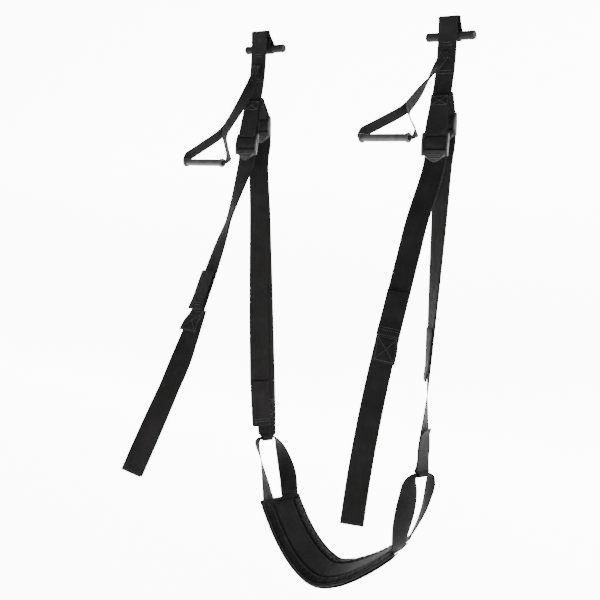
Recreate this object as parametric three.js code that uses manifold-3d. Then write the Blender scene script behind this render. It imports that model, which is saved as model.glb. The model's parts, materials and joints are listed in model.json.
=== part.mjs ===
// Over-door suspension sling: two webbing anchors hang over the top edge of a closed door, each with
// a pull handle, a leg strap ending in a stirrup loop, and a strap that carries a shared padded seat.
// Millimetres, +Z up. X runs along the door, the room is on the -Y side and the door on the +Y side.
// The origin is on the door's top front edge, midway between the two anchors.
import * as THREE from 'three';
import { mergeVertices } from 'three/addons/utils/BufferGeometryUtils.js';
import Module from 'manifold-3d';

const wasm = await Module();
wasm.setup();

// ---- driving dimensions ----
const SPACING = 560;            // between the two anchors, centre to centre
const WEB = 50;                 // wide webbing
const WEB_T = 2;                // its thickness
const NARROW = 25;              // handle webbing
const GAP = 0.3;                // clearance between pieces that touch
const LAYER = WEB_T + 0.5;      // pitch of webbing layers that lie on each other
const TAIL_OUT = 3.1;           // a strap's tail in front of its loaded layer

const FOLD_Y = 11;              // depth of the fold over the door's top edge
const DROP_FOOT_Y = -27;        // the front drop's end, where the buckle tabs are sewn on
const DROP_FOOT_Z = -184;
const DROP_BEND = 2.4;
const BAR_R = 10;               // anchor bar
const BAR_LENGTH = 118;
const BAR_WALL = 1.6;
const BAR_Z = -43;              // bar axis below the top edge
const CAP_LENGTH = 7;

const HANDLE_LEG = 111;         // from the handle's fork to its grip
const GRIP_LENGTH = 124;
const GRIP_R = 8.3;
const GRIP_BORE = 6.3;
const COLLAR_R = 10.5;
const COLLAR_LENGTH = 6;

const BUCKLE_W = 62;
const BUCKLE_H = 68;
const PLATE_T = 4.6;
const SLOT_W = 51.4;            // inner width of the slots, for the wide webbing
const TOP_BAR_V = 2.3;          // centre of the top bar below the buckle's top edge
const TOP_BAR_R = 2.3;
const MID_BAR_V = 29;           // centre of the middle bar
const MID_BAR_R = 2.6;

const PATCH_LENGTH = 66;        // sewn overlap of a leg strap and its stirrup loop
const LEG_SPLAY = 0.0507;       // sideways run of a leg strap for each unit it drops
const SEAT_LEAN = 0.0359;       // the same for a seat strap, towards the seat's middle
const LEG_TAIL_END = 104;       // part of a leg tail that slides up as its strap is let out
const SEAT_TAIL_END = 124;      // the same on a seat strap
const TAIL_COVER = 14;          // overlap of a tail's fixed and sliding parts
const EYE_NECK = 27;            // width of the gathered webbing through an eye
const EYE_SEWN = 48;            // overlap of the eye's end behind its strap
const EYE_STAND = 3.4;           // it stands off the twisted strap by this much
const EYE_R = 9;                // turn of a seat strap's end round the seat's end loop

const LOOP_NECK = 11;           // the end loop is gathered to this width and thickness inside the eye
const LOOP_NECK_T = 4.4;

const PAD_WIDTH = 120;
const PAD_T = 13;
const COVER_T = 1.2;
const PAD_STEPS = 26;

// Heights below the door's top edge.
const LEG_TOP = -460;           // a leg strap hangs straight from here
const LEG_FOOT = -694;          // where the stirrup loop is sewn on
const LOOP_FOOT = -1070;        // bottom of the stirrup loop
const SEAT_TOP = -330;          // a seat strap is clear of its buckle from here
const SEAT_TURN = -850;         // its twist grows quicker below this
const SEAT_FOOT = -998;         // where the seat strap's eye starts
const EYE_Z = -1056;

// What differs between the two sides is only how the soft straps happen to hang. A slope is the forward run
// for each unit of drop. Facings are degrees round from the door, at the heights named above.
const SIDES = [
  {
    name: 'left', sign: -1, barY: 23, frontYaw: 10, rearY: 6,
    stem: [[-11, -84], [-30, -150], [-134, -250]], handleAngle: 46, handleTwist: -1,
    legSlope: 0.48, footSlope: 0.66, legFootY: -218, legFacing: [-45, -10, 60], opening: 30,
    seatY: [-4, -9], seatFacing: [20, 48, 62],
    seatTailEnd: -1026, seatTailFacing: 50, seatTailShift: -17,
    loopTwist: [-56, 93], loopBow: [0, 12],
  },
  {
    name: 'right', sign: 1, barY: 12, frontYaw: 20, rearY: -8,
    stem: [[-10, -78], [-60, -135], [-161, -205]], handleAngle: 37, handleTwist: 1,
    legSlope: 0.53, footSlope: 0.3, legFootY: -257, legFacing: [31, 32, 34], opening: 14,
    seatY: [-8, -40], seatFacing: [-4, -55, -112],
    seatTailEnd: -834, seatTailFacing: -45, seatTailShift: 0,
    loopTwist: [114, -48], loopBow: [14, 0],
  },
];

// ---- materials ----
const webbing = () => new THREE.MeshStandardMaterial({ color: 0x1d1d1e, roughness: 0.9, metalness: 0 });
const barPaint = () => new THREE.MeshStandardMaterial({ color: 0x18181a, roughness: 0.5, metalness: 0.2 });
const hardPlastic = (color, roughness) => new THREE.MeshStandardMaterial({ color, roughness, metalness: 0 });
const bucklePlastic = () => hardPlastic(0x37373a, 0.45);
const gripPlastic = () => hardPlastic(0x454548, 0.4);
const capPlastic = () => hardPlastic(0x141415, 0.55);
const coverCloth = () => new THREE.MeshStandardMaterial({ color: 0x161617, roughness: 0.95, metalness: 0 });
const foam = () => new THREE.MeshStandardMaterial({ color: 0x4a4a4c, roughness: 1, metalness: 0 });

// ---- geometry helpers ----
const vec = (x, y, z) => new THREE.Vector3(x, y, z);
const rad = THREE.MathUtils.degToRad;

// The level direction that a strap's width lies along when it faces `degrees` round from the door.
const facing = (degrees) => vec(Math.cos(rad(degrees)), Math.sin(rad(degrees)), 0);

// Direction out of a strap's front face, for a strap that runs along `along` and faces `turn`.
function frontOf(along, turn) {
  const face = facing(turn);
  face.addScaledVector(along, -face.dot(along)).normalize();
  return along.clone().cross(face).normalize();
}

// A number, or a function of the share 0..1 along the strap.
const valueAt = (value, share) => (typeof value === 'function' ? value(share) : value);

// A flat band through frames of { point, side, up }, closed at both ends. Both faces are cut along the same
// diagonals, so that twisted layers lie on each other.
function band(frames, width, thick) {
  const last = frames.length - 1;
  const corners = [];
  frames.forEach(({ point, side, up }, i) => {
    const w = valueAt(width, i / last) / 2;
    const t = valueAt(thick, i / last) / 2;
    for (const [a, b] of [[w, t], [-w, t], [-w, -t], [w, -t]]) {
      const corner = point.clone().addScaledVector(side, a).addScaledVector(up, b);
      corners.push(corner.x, corner.y, corner.z);
    }
  });
  const faces = [0, 3, 2, 0, 2, 1];
  for (let i = 0; i < last; i += 1) {
    for (let j = 0; j < 4; j += 1) {
      const k = (j + 1) % 4;
      const a = 4 * i + j;
      const b = 4 * i + k;
      if (j === 2) faces.push(a, b, a + 4, b, b + 4, a + 4);
      else faces.push(a, b, b + 4, a, b + 4, a + 4);
    }
  }
  const end = 4 * last;
  faces.push(end, end + 1, end + 2, end, end + 2, end + 3);
  const geometry = new THREE.BufferGeometry();
  geometry.setAttribute('position', new THREE.Float32BufferAttribute(corners, 3));
  geometry.setIndex(faces);
  return geometry;
}

// A flat band along `points`, its width lying along `across`.
function sweep(points, across, width, thick) {
  const frames = points.map((point, i) => {
    const before = points[Math.max(i - 1, 0)];
    const after = points[Math.min(i + 1, points.length - 1)];
    const along = after.clone().sub(before).normalize();
    const side = across[i].clone().addScaledVector(along, -across[i].dot(along)).normalize();
    return { point, side, up: along.clone().cross(side) };
  });
  return band(frames, width, thick);
}

// A hanging strap's middle line through rows of [x, y, z, facing in degrees], cut into stations that
// every layer of webbing on the strap shares.
function strapLine(rows) {
  const curve = new THREE.CatmullRomCurve3(rows.map(([x, y, z]) => vec(x, y, z)));
  const steps = 5 * (rows.length - 1);
  const stations = [];
  for (let i = 0; i <= steps; i += 1) {
    const place = (i / steps) * (rows.length - 1);
    const row = Math.min(Math.floor(place), rows.length - 2);
    const turn = THREE.MathUtils.lerp(rows[row][3], rows[row + 1][3], place - row);
    const up = frontOf(curve.getTangent(i / steps), turn);
    const side = up.clone().cross(curve.getTangent(i / steps));
    stations.push({ point: curve.getPoint(i / steps), side, up });
  }
  return stations;
}

// One layer of webbing on a strap line, `out` in front of it and moved `shift` to the side.
function strapLayer(stations, out, width, thick, shift = 0) {
  const last = stations.length - 1;
  const frames = stations.map(({ point, side, up }, i) => ({
    point: point.clone()
      .addScaledVector(up, valueAt(out, i / last))
      .addScaledVector(side, valueAt(shift, i / last)),
    side,
    up,
  }));
  return band(frames, width, thick);
}

// Points on an arc in a plane given by two unit directions, angles in degrees.
function arc(centre, first, second, radius, from, to, steps) {
  const points = [];
  for (let i = 0; i <= steps; i += 1) {
    const angle = rad(from + ((to - from) * i) / steps);
    points.push(centre.clone()
      .addScaledVector(first, radius * Math.cos(angle))
      .addScaledVector(second, radius * Math.sin(angle)));
  }
  return points;
}

// A band whose path lies in one plane, so its width has one direction throughout.
const planeBand = (points, across, width, thick) => sweep(points, points.map(() => across), width, thick);

function toSolid(geometry) {
  const bare = geometry.clone();
  bare.deleteAttribute('normal');
  bare.deleteAttribute('uv');
  const merged = mergeVertices(bare, 1e-4);
  const corners = merged.index.array;
  const kept = [];
  for (let i = 0; i < corners.length; i += 3) {
    const [a, b, c] = [corners[i], corners[i + 1], corners[i + 2]];
    if (a !== b && b !== c && a !== c) kept.push(a, b, c);
  }
  return new wasm.Manifold(new wasm.Mesh({
    numProp: 3,
    vertProperties: new Float32Array(merged.attributes.position.array),
    triVerts: new Uint32Array(kept),
  }));
}

function toGeometry(solid) {
  const mesh = solid.getMesh();
  const geometry = new THREE.BufferGeometry();
  geometry.setAttribute('position', new THREE.BufferAttribute(new Float32Array(mesh.vertProperties), 3));
  geometry.setIndex(new THREE.BufferAttribute(new Uint32Array(mesh.triVerts), 1));
  return geometry;
}

const union = (geometries) => toGeometry(geometries.map(toSolid).reduce((a, b) => a.add(b)));

// A round piece about its own X axis from a closed or axis-to-axis profile of [radius, along].
function turned(profile, segments) {
  const geometry = new THREE.LatheGeometry(profile.map(([r, a]) => new THREE.Vector2(r, a)), segments);
  geometry.rotateZ(-Math.PI / 2);
  geometry.deleteAttribute('normal');
  geometry.deleteAttribute('uv');
  return mergeVertices(geometry, 1e-4);
}

function part(parent, name, geometry, material) {
  const mesh = new THREE.Mesh(geometry, material);
  mesh.name = name;
  parent.add(mesh);
  return mesh;
}

// ---- over-door anchor ----
const UP = vec(0, 0, 1);
const BACK = vec(0, 1, 0);
const RIGHT = vec(1, 0, 0);
const inPlane = (x, pairs) => pairs.map(([y, z]) => vec(x, y, z));

// The stretch of webbing that lies on the door's top edge, between the two drops.
function topFold(x) {
  return planeBand(inPlane(x, [[0, WEB_T / 2], [FOLD_Y, WEB_T / 2]]), RIGHT, WEB, WEB_T);
}

// The drop down the room side, as far as the buckle tabs.
// How far forward the front drop is at a height: upright at the door, then out to the buckles.
function dropY(z) {
  const upright = -GAP - WEB_T / 2;
  const share = (WEB_T - z) / (WEB_T - DROP_FOOT_Z);
  return upright + (DROP_FOOT_Y - upright) * share ** DROP_BEND;
}

function frontDrop(x) {
  const points = heights(WEB_T, DROP_FOOT_Z, 6).map((z) => [dropY(z), z]);
  return planeBand(inPlane(x, points), RIGHT, WEB, WEB_T);
}

// The short drop behind the door, ending in a sewn sleeve round the anchor bar.
function backStrap(x, barY) {
  const radius = BAR_R + 0.5 + WEB_T / 2;
  const centre = vec(x, barY, BAR_Z);
  const top = vec(x, FOLD_Y + GAP + WEB_T / 2, WEB_T);
  const below = top.clone().add(vec(0, 0, -6));
  const outer = vec(x, barY + radius, BAR_Z + 4);
  const round = arc(centre, BACK, UP, radius, 0, -180, 14);
  const sewn = below.clone().lerp(outer, 0.35).add(vec(0, -LAYER - 0.8, 0));
  const inner = vec(x, barY - radius, BAR_Z + 3);
  return planeBand([top, below, outer, ...round, inner, sewn], RIGHT, WEB, WEB_T);
}

function anchorBar() {
  const half = BAR_LENGTH / 2 - CAP_LENGTH / 2;
  const inner = BAR_R - BAR_WALL;
  return turned([[inner, -half], [BAR_R, -half], [BAR_R, half], [inner, half], [inner, -half]], 20);
}

// End cap with a plug in the tube, its outer end along +X.
function barCap() {
  const plug = BAR_R - BAR_WALL - GAP;
  return turned([[0, -9], [plug, -9], [plug, 0], [BAR_R + 0.4, 0], [BAR_R + 0.4, 4.5], [BAR_R - 1.6, 6.7],
    [0, CAP_LENGTH]], 20);
}

// ---- ladder-lock buckle, in its own frame: X across, -Z down from the top bar's axis, -Y to the front ----
function roundedHole(halfW, top, bottom) {
  const hole = new THREE.Path();
  const r = 1.6;
  hole.moveTo(-halfW + r, bottom);
  hole.lineTo(halfW - r, bottom);
  hole.absarc(halfW - r, bottom + r, r, -Math.PI / 2, 0, false);
  hole.absarc(halfW - r, top - r, r, 0, Math.PI / 2, false);
  hole.absarc(-halfW + r, top - r, r, Math.PI / 2, Math.PI, false);
  hole.absarc(-halfW + r, bottom + r, r, Math.PI, Math.PI * 1.5, false);
  return hole;
}

function buckleOutline() {
  const half = BUCKLE_W / 2;
  const top = TOP_BAR_V;
  const shape = new THREE.Shape();
  shape.moveTo(-half + 4, top);
  shape.lineTo(half - 4, top);
  shape.quadraticCurveTo(half - 0.5, top, half - 0.5, top - 5);
  shape.quadraticCurveTo(half + 0.5, top - 20, half - 1, top - 40);
  shape.quadraticCurveTo(half - 2, top - 46, half - 8, top - 51);
  shape.lineTo(11, top - BUCKLE_H + 1.5);
  shape.quadraticCurveTo(8, top - BUCKLE_H, 0, top - BUCKLE_H);
  shape.quadraticCurveTo(-8, top - BUCKLE_H, -11, top - BUCKLE_H + 1.5);
  shape.lineTo(-half + 8, top - 51);
  shape.quadraticCurveTo(-half + 2, top - 46, -half + 1, top - 40);
  shape.quadraticCurveTo(-half - 0.5, top - 20, -half + 0.5, top - 5);
  shape.quadraticCurveTo(-half + 0.5, top, -half + 4, top);
  return shape;
}

function bucklePlate() {
  const shape = buckleOutline();
  const tabSlotBottom = -TOP_BAR_R - 6;
  shape.holes.push(roundedHole(SLOT_W / 2, -TOP_BAR_R, tabSlotBottom));
  const windowTop = TOP_BAR_V - MID_BAR_V + MID_BAR_R + 9;
  const windowBottom = TOP_BAR_V - MID_BAR_V - MID_BAR_R - 9;
  shape.holes.push(roundedHole(SLOT_W / 2, windowTop, windowBottom));
  const plate = new THREE.ExtrudeGeometry(shape, { depth: PLATE_T, bevelEnabled: false, curveSegments: 4 });
  plate.translate(0, 0, -PLATE_T / 2);
  plate.rotateX(Math.PI / 2);
  return plate;
}

// The lever lip: a wedge that stands forward at the bottom, with three grip ribs.
function lip() {
  const profile = new THREE.Shape();
  const start = TOP_BAR_V - 46;
  profile.moveTo(0, start);
  profile.lineTo(PLATE_T / 2 + 0.8, start);
  profile.lineTo(PLATE_T / 2 + 2, start - 6);
  for (let rib = 0; rib < 3; rib += 1) {
    const z = start - 7 - rib * 4;
    const out = PLATE_T / 2 + 2.4 + rib * 0.9;
    profile.lineTo(out, z);
    profile.lineTo(out + 1, z - 1.2);
    profile.lineTo(out + 0.4, z - 2.6);
  }
  profile.lineTo(0, TOP_BAR_V - BUCKLE_H + 1.2);
  const wedge = new THREE.ExtrudeGeometry(profile, { depth: 30, bevelEnabled: false });
  wedge.translate(0, 0, -15);
  const stand = new THREE.Matrix4().makeBasis(vec(0, -1, 0), UP, vec(-1, 0, 0));
  wedge.applyMatrix4(stand);
  return wedge;
}

function buckleBar(z, radius) {
  const bar = new THREE.CylinderGeometry(radius, radius, SLOT_W + 2, 10);
  bar.rotateZ(Math.PI / 2);
  bar.translate(0, 0, z);
  return bar;
}

const MID_BAR_Z = TOP_BAR_V - MID_BAR_V;
const buckleBars = () => [buckleBar(0, TOP_BAR_R), buckleBar(MID_BAR_Z, MID_BAR_R)];
const buckleBody = () => union([bucklePlate(), lip(), ...buckleBars()]);

// The turn that the adjustable webbing makes over the middle bar, front side out.
function strapTurn() {
  const centre = vec(0, 0, MID_BAR_Z);
  const radius = MID_BAR_R + GAP + WEB_T / 2 + 0.4;
  const front = vec(0, -1, 0);
  return planeBand(arc(centre, front, UP, radius, 138, -138, 12), RIGHT, WEB - 0.6, WEB_T - 0.2);
}

const FRONT_TAB_ENDS = [        // [y, z] of a tab's front and back ends
  [DROP_FOOT_Y - 1.6, DROP_FOOT_Z - 2],
  [DROP_FOOT_Y + 1.6, DROP_FOOT_Z - 2.5],
];
const REAR_TAB_ENDS = [[-17.6, -168], [-14.4, -168.6]];

// A webbing tab from the front drop's lower end round a buckle's top bar and back up.
function buckleTab(x, starts, bar, yaw) {
  const across = facing(yaw);
  const front = vec(Math.sin(rad(yaw)), -Math.cos(rad(yaw)), 0);
  const radius = TOP_BAR_V * Math.SQRT2 + 2 * GAP + WEB_T / 2;
  const [frontTop, backTop] = starts.map(([y, z]) => vec(x, y, z));
  const leanOf = (top) => {
    const way = top.clone().sub(bar);
    return THREE.MathUtils.radToDeg(Math.atan2(way.dot(front), way.z));
  };
  const round = arc(bar, front, UP, radius, -leanOf(frontTop), -180 - leanOf(backTop), 12);
  const points = [frontTop, ...round, backTop];
  const sides = points.map((p, i) => (i === 0 || i === points.length - 1 ? RIGHT.clone() : across.clone()));
  return sweep(points, sides, WEB - 0.4, WEB_T - 0.1);
}

// ---- pull handle ----
function gripCentre(side) {
  const [y, z] = side.stem[2];
  const angle = rad(side.handleAngle);
  return [y - HANDLE_LEG * Math.cos(angle), z - HANDLE_LEG * Math.sin(angle)];
}

function handleStrap(side, x) {
  const [gy, gz] = gripCentre(side);
  const stem = new THREE.QuadraticBezierCurve3(...inPlane(x, side.stem));
  const steps = 16;
  const junction = stem.getPoint(1);
  const reach = vec(0, gy, gz).sub(vec(0, junction.y, junction.z)).normalize();
  const edge = vec(0, reach.z, -reach.y).multiplyScalar(side.handleTwist);
  const points = [];
  const across = [];
  for (let i = 0; i <= steps; i += 1) {
    const turn = (Math.PI / 2) * THREE.MathUtils.smoothstep(i / steps, 0.12, 0.95);
    points.push(stem.getPoint(i / steps));
    across.push(RIGHT.clone().multiplyScalar(Math.cos(turn)).addScaledVector(edge, Math.sin(turn)));
  }
  points.push(junction.clone().addScaledVector(reach, 10));
  across.push(edge.clone());
  const pieces = [sweep(points, across, NARROW, 2 * WEB_T)];
  const mouth = GRIP_LENGTH / 2;
  for (const hand of [-1, 1]) {
    const out = vec(x + hand * (mouth + 5), gy, gz);
    const leg = new THREE.CatmullRomCurve3([
      junction.clone().add(vec(hand * 0.9, 0, 0)).addScaledVector(reach, 2),
      junction.clone().add(vec(hand * 10, 0, 0)).addScaledVector(reach, 18),
      junction.clone().lerp(out, 0.62).add(vec(hand * 7, 0, 0)),
      out.clone().addScaledVector(reach, -16).add(vec(hand * 1.5, 0, 0)),
      out.clone().addScaledVector(reach, -2).add(vec(hand * 2, 0, 0)),
      vec(x + hand * (mouth - 2), gy, gz),
      vec(x + hand * (mouth - 14), gy, gz),
    ]);
    const line = leg.getPoints(22);
    const width = (share) => NARROW - (NARROW - 8.6) * THREE.MathUtils.smoothstep(share, 0.5, 0.78);
    const thick = (share) => WEB_T + 2.4 * THREE.MathUtils.smoothstep(share, 0.5, 0.8);
    pieces.push(sweep(line, line.map(() => edge.clone()), width, thick));
  }
  const core = [vec(x - mouth + 12, gy, gz), vec(x + mouth - 12, gy, gz)];
  pieces.push(planeBand(core, edge, 8.6, 4.4));
  return union(pieces);
}

function gripTube() {
  const half = GRIP_LENGTH / 2;
  return turned([[GRIP_BORE, -half], [GRIP_R, -half], [GRIP_R, half], [GRIP_BORE, half],
    [GRIP_BORE, -half]], 20);
}

function gripCollar() {
  const half = COLLAR_LENGTH / 2;
  const inner = GRIP_R + GAP;
  return turned([[inner, -half], [COLLAR_R - 1.2, -half], [COLLAR_R, -half + 1.2], [COLLAR_R, half - 1.2],
    [COLLAR_R - 1.2, half], [inner, half], [inner, -half]], 20);
}

// ---- leg strap and stirrup ----
const legX = (sign, z) => sign * (SPACING / 2 + LEG_SPLAY * (-z - 325));
const legDown = (side) => vec(side.sign * LEG_SPLAY, -side.legSlope, -1).normalize();

// Forward place of a leg strap and its loop: straight to the loop, then its slope changes evenly to the foot.
function legY(side, z) {
  const below = Math.max(LEG_FOOT - z, 0);
  const bend = (side.footSlope - side.legSlope) / (2 * (LEG_FOOT - LOOP_FOOT));
  return side.legFootY + side.legSlope * (z - LEG_FOOT) - bend * below * below;
}

function legTurn(side, z) {
  const [upper, patch, foot] = side.legFacing;
  const settle = (share) => 1 - (1 - share) ** 3;
  if (z >= LEG_FOOT) return THREE.MathUtils.lerp(upper, patch, settle((LEG_TOP - z) / (LEG_TOP - LEG_FOOT)));
  return THREE.MathUtils.lerp(patch, foot, settle((LEG_FOOT - z) / (LEG_FOOT - LOOP_FOOT)));
}

// Heights from one to another in even steps.
function heights(from, to, steps) {
  return Array.from({ length: steps + 1 }, (_, i) => THREE.MathUtils.lerp(from, to, i / steps));
}

const legRows = (side, list) => list.map((z) => [legX(side.sign, z), legY(side, z), z, legTurn(side, z)]);

// A point behind the buckle plate, `down` below the top bar.
const behindPlate = (place, back, down) => vec(0, PLATE_T / 2 + back, -down).applyMatrix4(place);

// Rows of a strap that leaves the buckle behind its plate: the loaded layer, with room for its tail.
function buckleRows(place, yaw) {
  const back = TAIL_OUT + LAYER / 2 + 0.1;
  return [20, BUCKLE_H - 2].map((down) => [...behindPlate(place, back, down).toArray(), yaw]);
}

const legLine = (side, place) => strapLine([
  ...buckleRows(place, side.frontYaw),
  ...legRows(side, heights(LEG_TOP, LEG_FOOT, 4)),
]);

const legStrap = (side, place) => strapLayer(legLine(side, place), 0, WEB, WEB_T);

// The fixed part of a tail: it lies in front of the loaded layer, as far as `bottom`.
function fixedTail(line, top, bottom, shift) {
  const covered = line.filter(({ point }) => point.z < top && point.z > bottom);
  return strapLayer(covered, TAIL_OUT, WEB - 0.6, WEB_T - 0.3, shift);
}

// The sliding part of a tail: a straight length in front of the fixed part.
function slidingTail(foot, down, turn, length) {
  const end = foot.clone().addScaledVector(frontOf(down, turn), TAIL_OUT + 2.9 * LAYER);
  return planeBand([end.clone().addScaledVector(down, -length), end], facing(turn), WEB - 0.4, WEB_T - 0.2);
}

function legTail(side, place) {
  const bottom = LEG_FOOT + (LEG_TAIL_END - TAIL_COVER) * -legDown(side).z;
  return fixedTail(legLine(side, place), place.elements[14] - 36, bottom, 0);
}

function legTailEnd(side) {
  const down = legDown(side);
  const foot = vec(legX(side.sign, LEG_FOOT), side.legFootY, LEG_FOOT).addScaledVector(down, -4);
  return slidingTail(foot, down, legTurn(side, LEG_FOOT + LEG_TAIL_END / 2), LEG_TAIL_END);
}

const loopLine = (side) => strapLine(legRows(side, heights(LEG_FOOT, LOOP_FOOT, 4)));

// Two layers, sewn together at the top, open below and turned at the foot.
function stirrupLoop(side) {
  const line = loopLine(side);
  const behind = -LAYER - 0.2;
  const opening = (share) => LAYER + side.opening * Math.sin(Math.PI * Math.max(share - 0.2, 0) / 1.1);
  const lay = (out) => line.map(({ point, side: across, up }, i) => ({
    point: point.clone().addScaledVector(up, out(i / (line.length - 1))), side: across, up,
  }));
  const front = lay(() => behind);
  const back = lay((share) => behind - opening(share)).reverse()
    .map(({ point, side: across, up }) => ({ point, side: across, up: up.clone().negate() }));
  const foot = front[front.length - 1];
  const heel = back[0];
  const out = foot.point.clone().sub(heel.point);
  const radius = out.length() / 2;
  out.normalize();
  const down = out.clone().cross(foot.side).normalize();
  const middle = foot.point.clone().lerp(heel.point, 0.5);
  const turnFrames = [];
  for (let i = 1; i < 8; i += 1) {
    const angle = (Math.PI * i) / 8;
    const up = out.clone().multiplyScalar(Math.cos(angle)).addScaledVector(down, Math.sin(angle));
    turnFrames.push({ point: middle.clone().addScaledVector(up, radius), side: foot.side, up });
  }
  return band([...front, ...turnFrames, ...back], WEB, WEB_T);
}

// The strap's end where it overlaps the stirrup loop and is sewn to it.
function loopPatch(side) {
  const line = loopLine(side);
  const start = { ...line[0], point: line[0].point.clone().lerp(line[1].point, 0.05) };
  const along = line[0].point.distanceTo(line[5].point);
  const covered = line.slice(1, 1 + Math.round((5 * PATCH_LENGTH) / along));
  return strapLayer([start, ...covered], 0, WEB - 1, WEB_T - 0.3);
}

// ---- seat straps ----
const seatX = (sign, z) => sign * (SPACING / 2 - SEAT_LEAN * (-z - 276));
const seatDown = (side) => vec(-side.sign * SEAT_LEAN, 0, -1).normalize();

function seatTurn(side, z) {
  const [top, middle, eye] = side.seatFacing;
  if (z >= SEAT_TURN) return THREE.MathUtils.lerp(top, middle, (SEAT_TOP - z) / (SEAT_TOP - SEAT_TURN));
  return THREE.MathUtils.lerp(middle, eye, ((SEAT_TURN - z) / (SEAT_TURN - EYE_Z)) ** 2);
}

// A point on a seat strap's middle line at a given height.
function seatPoint(side, z) {
  const share = (SEAT_TOP - z) / (SEAT_TOP - EYE_Z);
  return vec(seatX(side.sign, z), THREE.MathUtils.lerp(...side.seatY, share), z);
}

const seatLine = (side, place) => strapLine([
  ...buckleRows(place, 0),
  ...[...heights(SEAT_TOP, SEAT_TURN, 4), ...heights(SEAT_TURN, SEAT_FOOT, 2).slice(1)]
    .map((z) => [...seatPoint(side, z).toArray(), seatTurn(side, z)]),
]);

const seatStrap = (side, place) => strapLayer(seatLine(side, place), 0, WEB, WEB_T);

function seatTail(side, place) {
  const bottom = side.seatTailEnd + SEAT_TAIL_END - TAIL_COVER;
  const shift = (share) => side.seatTailShift * THREE.MathUtils.smoothstep(share, 0.1, 1);
  return fixedTail(seatLine(side, place), place.elements[14] - 36, bottom, shift);
}

function seatTailEnd(side) {
  const turn = side.seatTailFacing;
  const foot = seatPoint(side, side.seatTailEnd).addScaledVector(facing(turn), side.seatTailShift);
  return slidingTail(foot, seatDown(side), turn, SEAT_TAIL_END);
}

const eyeCentre = (side) => seatPoint(side, EYE_Z);

// The seat strap's lower end, narrowed and folded round the seat's end loop and back up behind the strap.
function seatEye(side, place) {
  const turn = side.seatFacing[2];
  const out = frontOf(vec(0, 0, -1), turn);
  const centre = eyeCentre(side);
  const round = arc(centre, out, UP, EYE_R, 50, -230, 16);
  const topTurn = seatTurn(side, SEAT_FOOT);
  const start = seatPoint(side, SEAT_FOOT - 4 * GAP);
  const neck = start.clone().lerp(centre, 0.45);
  const behind = out.clone().multiplyScalar(-LAYER - EYE_STAND);
  const isSewn = ({ point }) => point.z < SEAT_FOOT + EYE_SEWN && point.z > SEAT_FOOT + 9;
  const sewn = seatLine(side, place).filter(isSewn).reverse();
  const back = sewn.map(({ point, up }) => point.clone().addScaledVector(up, -LAYER - EYE_STAND));
  const points = [start, neck, ...round, neck.clone().add(behind), ...back];
  const sides = [topTurn, ...Array(round.length + 2).fill(turn)].map(facing);
  sides.push(...sewn.map((station) => station.side));
  const full = [0, ...back.map((_, i) => points.length - 1 - i)];
  const width = (share) => (full.includes(Math.round(share * (points.length - 1))) ? WEB - 2 : EYE_NECK);
  return sweep(points, sides, width, WEB_T);
}

// ---- seat pad: a sling that hangs in a soft V, its back edge drawn up higher than its front ----
const PAD_ENDS = [vec(-197, -22, -1212), vec(202, -50, -1244)];
const PAD_LOW = vec(8, -76, -1349);
const PAD_SAG = [2, 1.5];       // how round each half hangs, as the power of its sag curve
const PAD_DRIFT = 1.3;          // the same for its run forwards
const PAD_TWIST = [0.32, -0.27];
const PAD_LIFT = 0.3;           // rise of the back edge for each unit across, at mid length

function padPoint(x) {
  const half = x < PAD_LOW.x ? 0 : 1;
  const run = (x - PAD_LOW.x) / (PAD_ENDS[half].x - PAD_LOW.x);
  const y = THREE.MathUtils.lerp(PAD_LOW.y, PAD_ENDS[half].y, run ** PAD_DRIFT);
  return vec(x, y, THREE.MathUtils.lerp(PAD_LOW.z, PAD_ENDS[half].z, run ** PAD_SAG[half]));
}

const PAD_LINE = new THREE.CatmullRomCurve3(heights(PAD_ENDS[0].x, PAD_ENDS[1].x, 8).map(padPoint));

function padFrame(share) {
  const along = PAD_LINE.getTangentAt(share);
  const across = vec(THREE.MathUtils.lerp(...PAD_TWIST, share), 0.95, PAD_LIFT * Math.sin(Math.PI * share));
  across.addScaledVector(along, -across.dot(along)).normalize();
  return { centre: PAD_LINE.getPointAt(share), across, up: along.clone().cross(across).normalize() };
}

// A slab that follows the pad: `rise` is its middle above the pad's own middle, `shift` is towards the back.
function padSlab(rise, shift, width, thick, trim = 0) {
  const frames = [];
  for (let i = trim; i <= PAD_STEPS - trim; i += 1) {
    const { centre, across, up } = padFrame(i / PAD_STEPS);
    frames.push({ point: centre.addScaledVector(up, rise).addScaledVector(across, shift), side: across, up });
  }
  return band(frames, width, thick);
}

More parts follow.
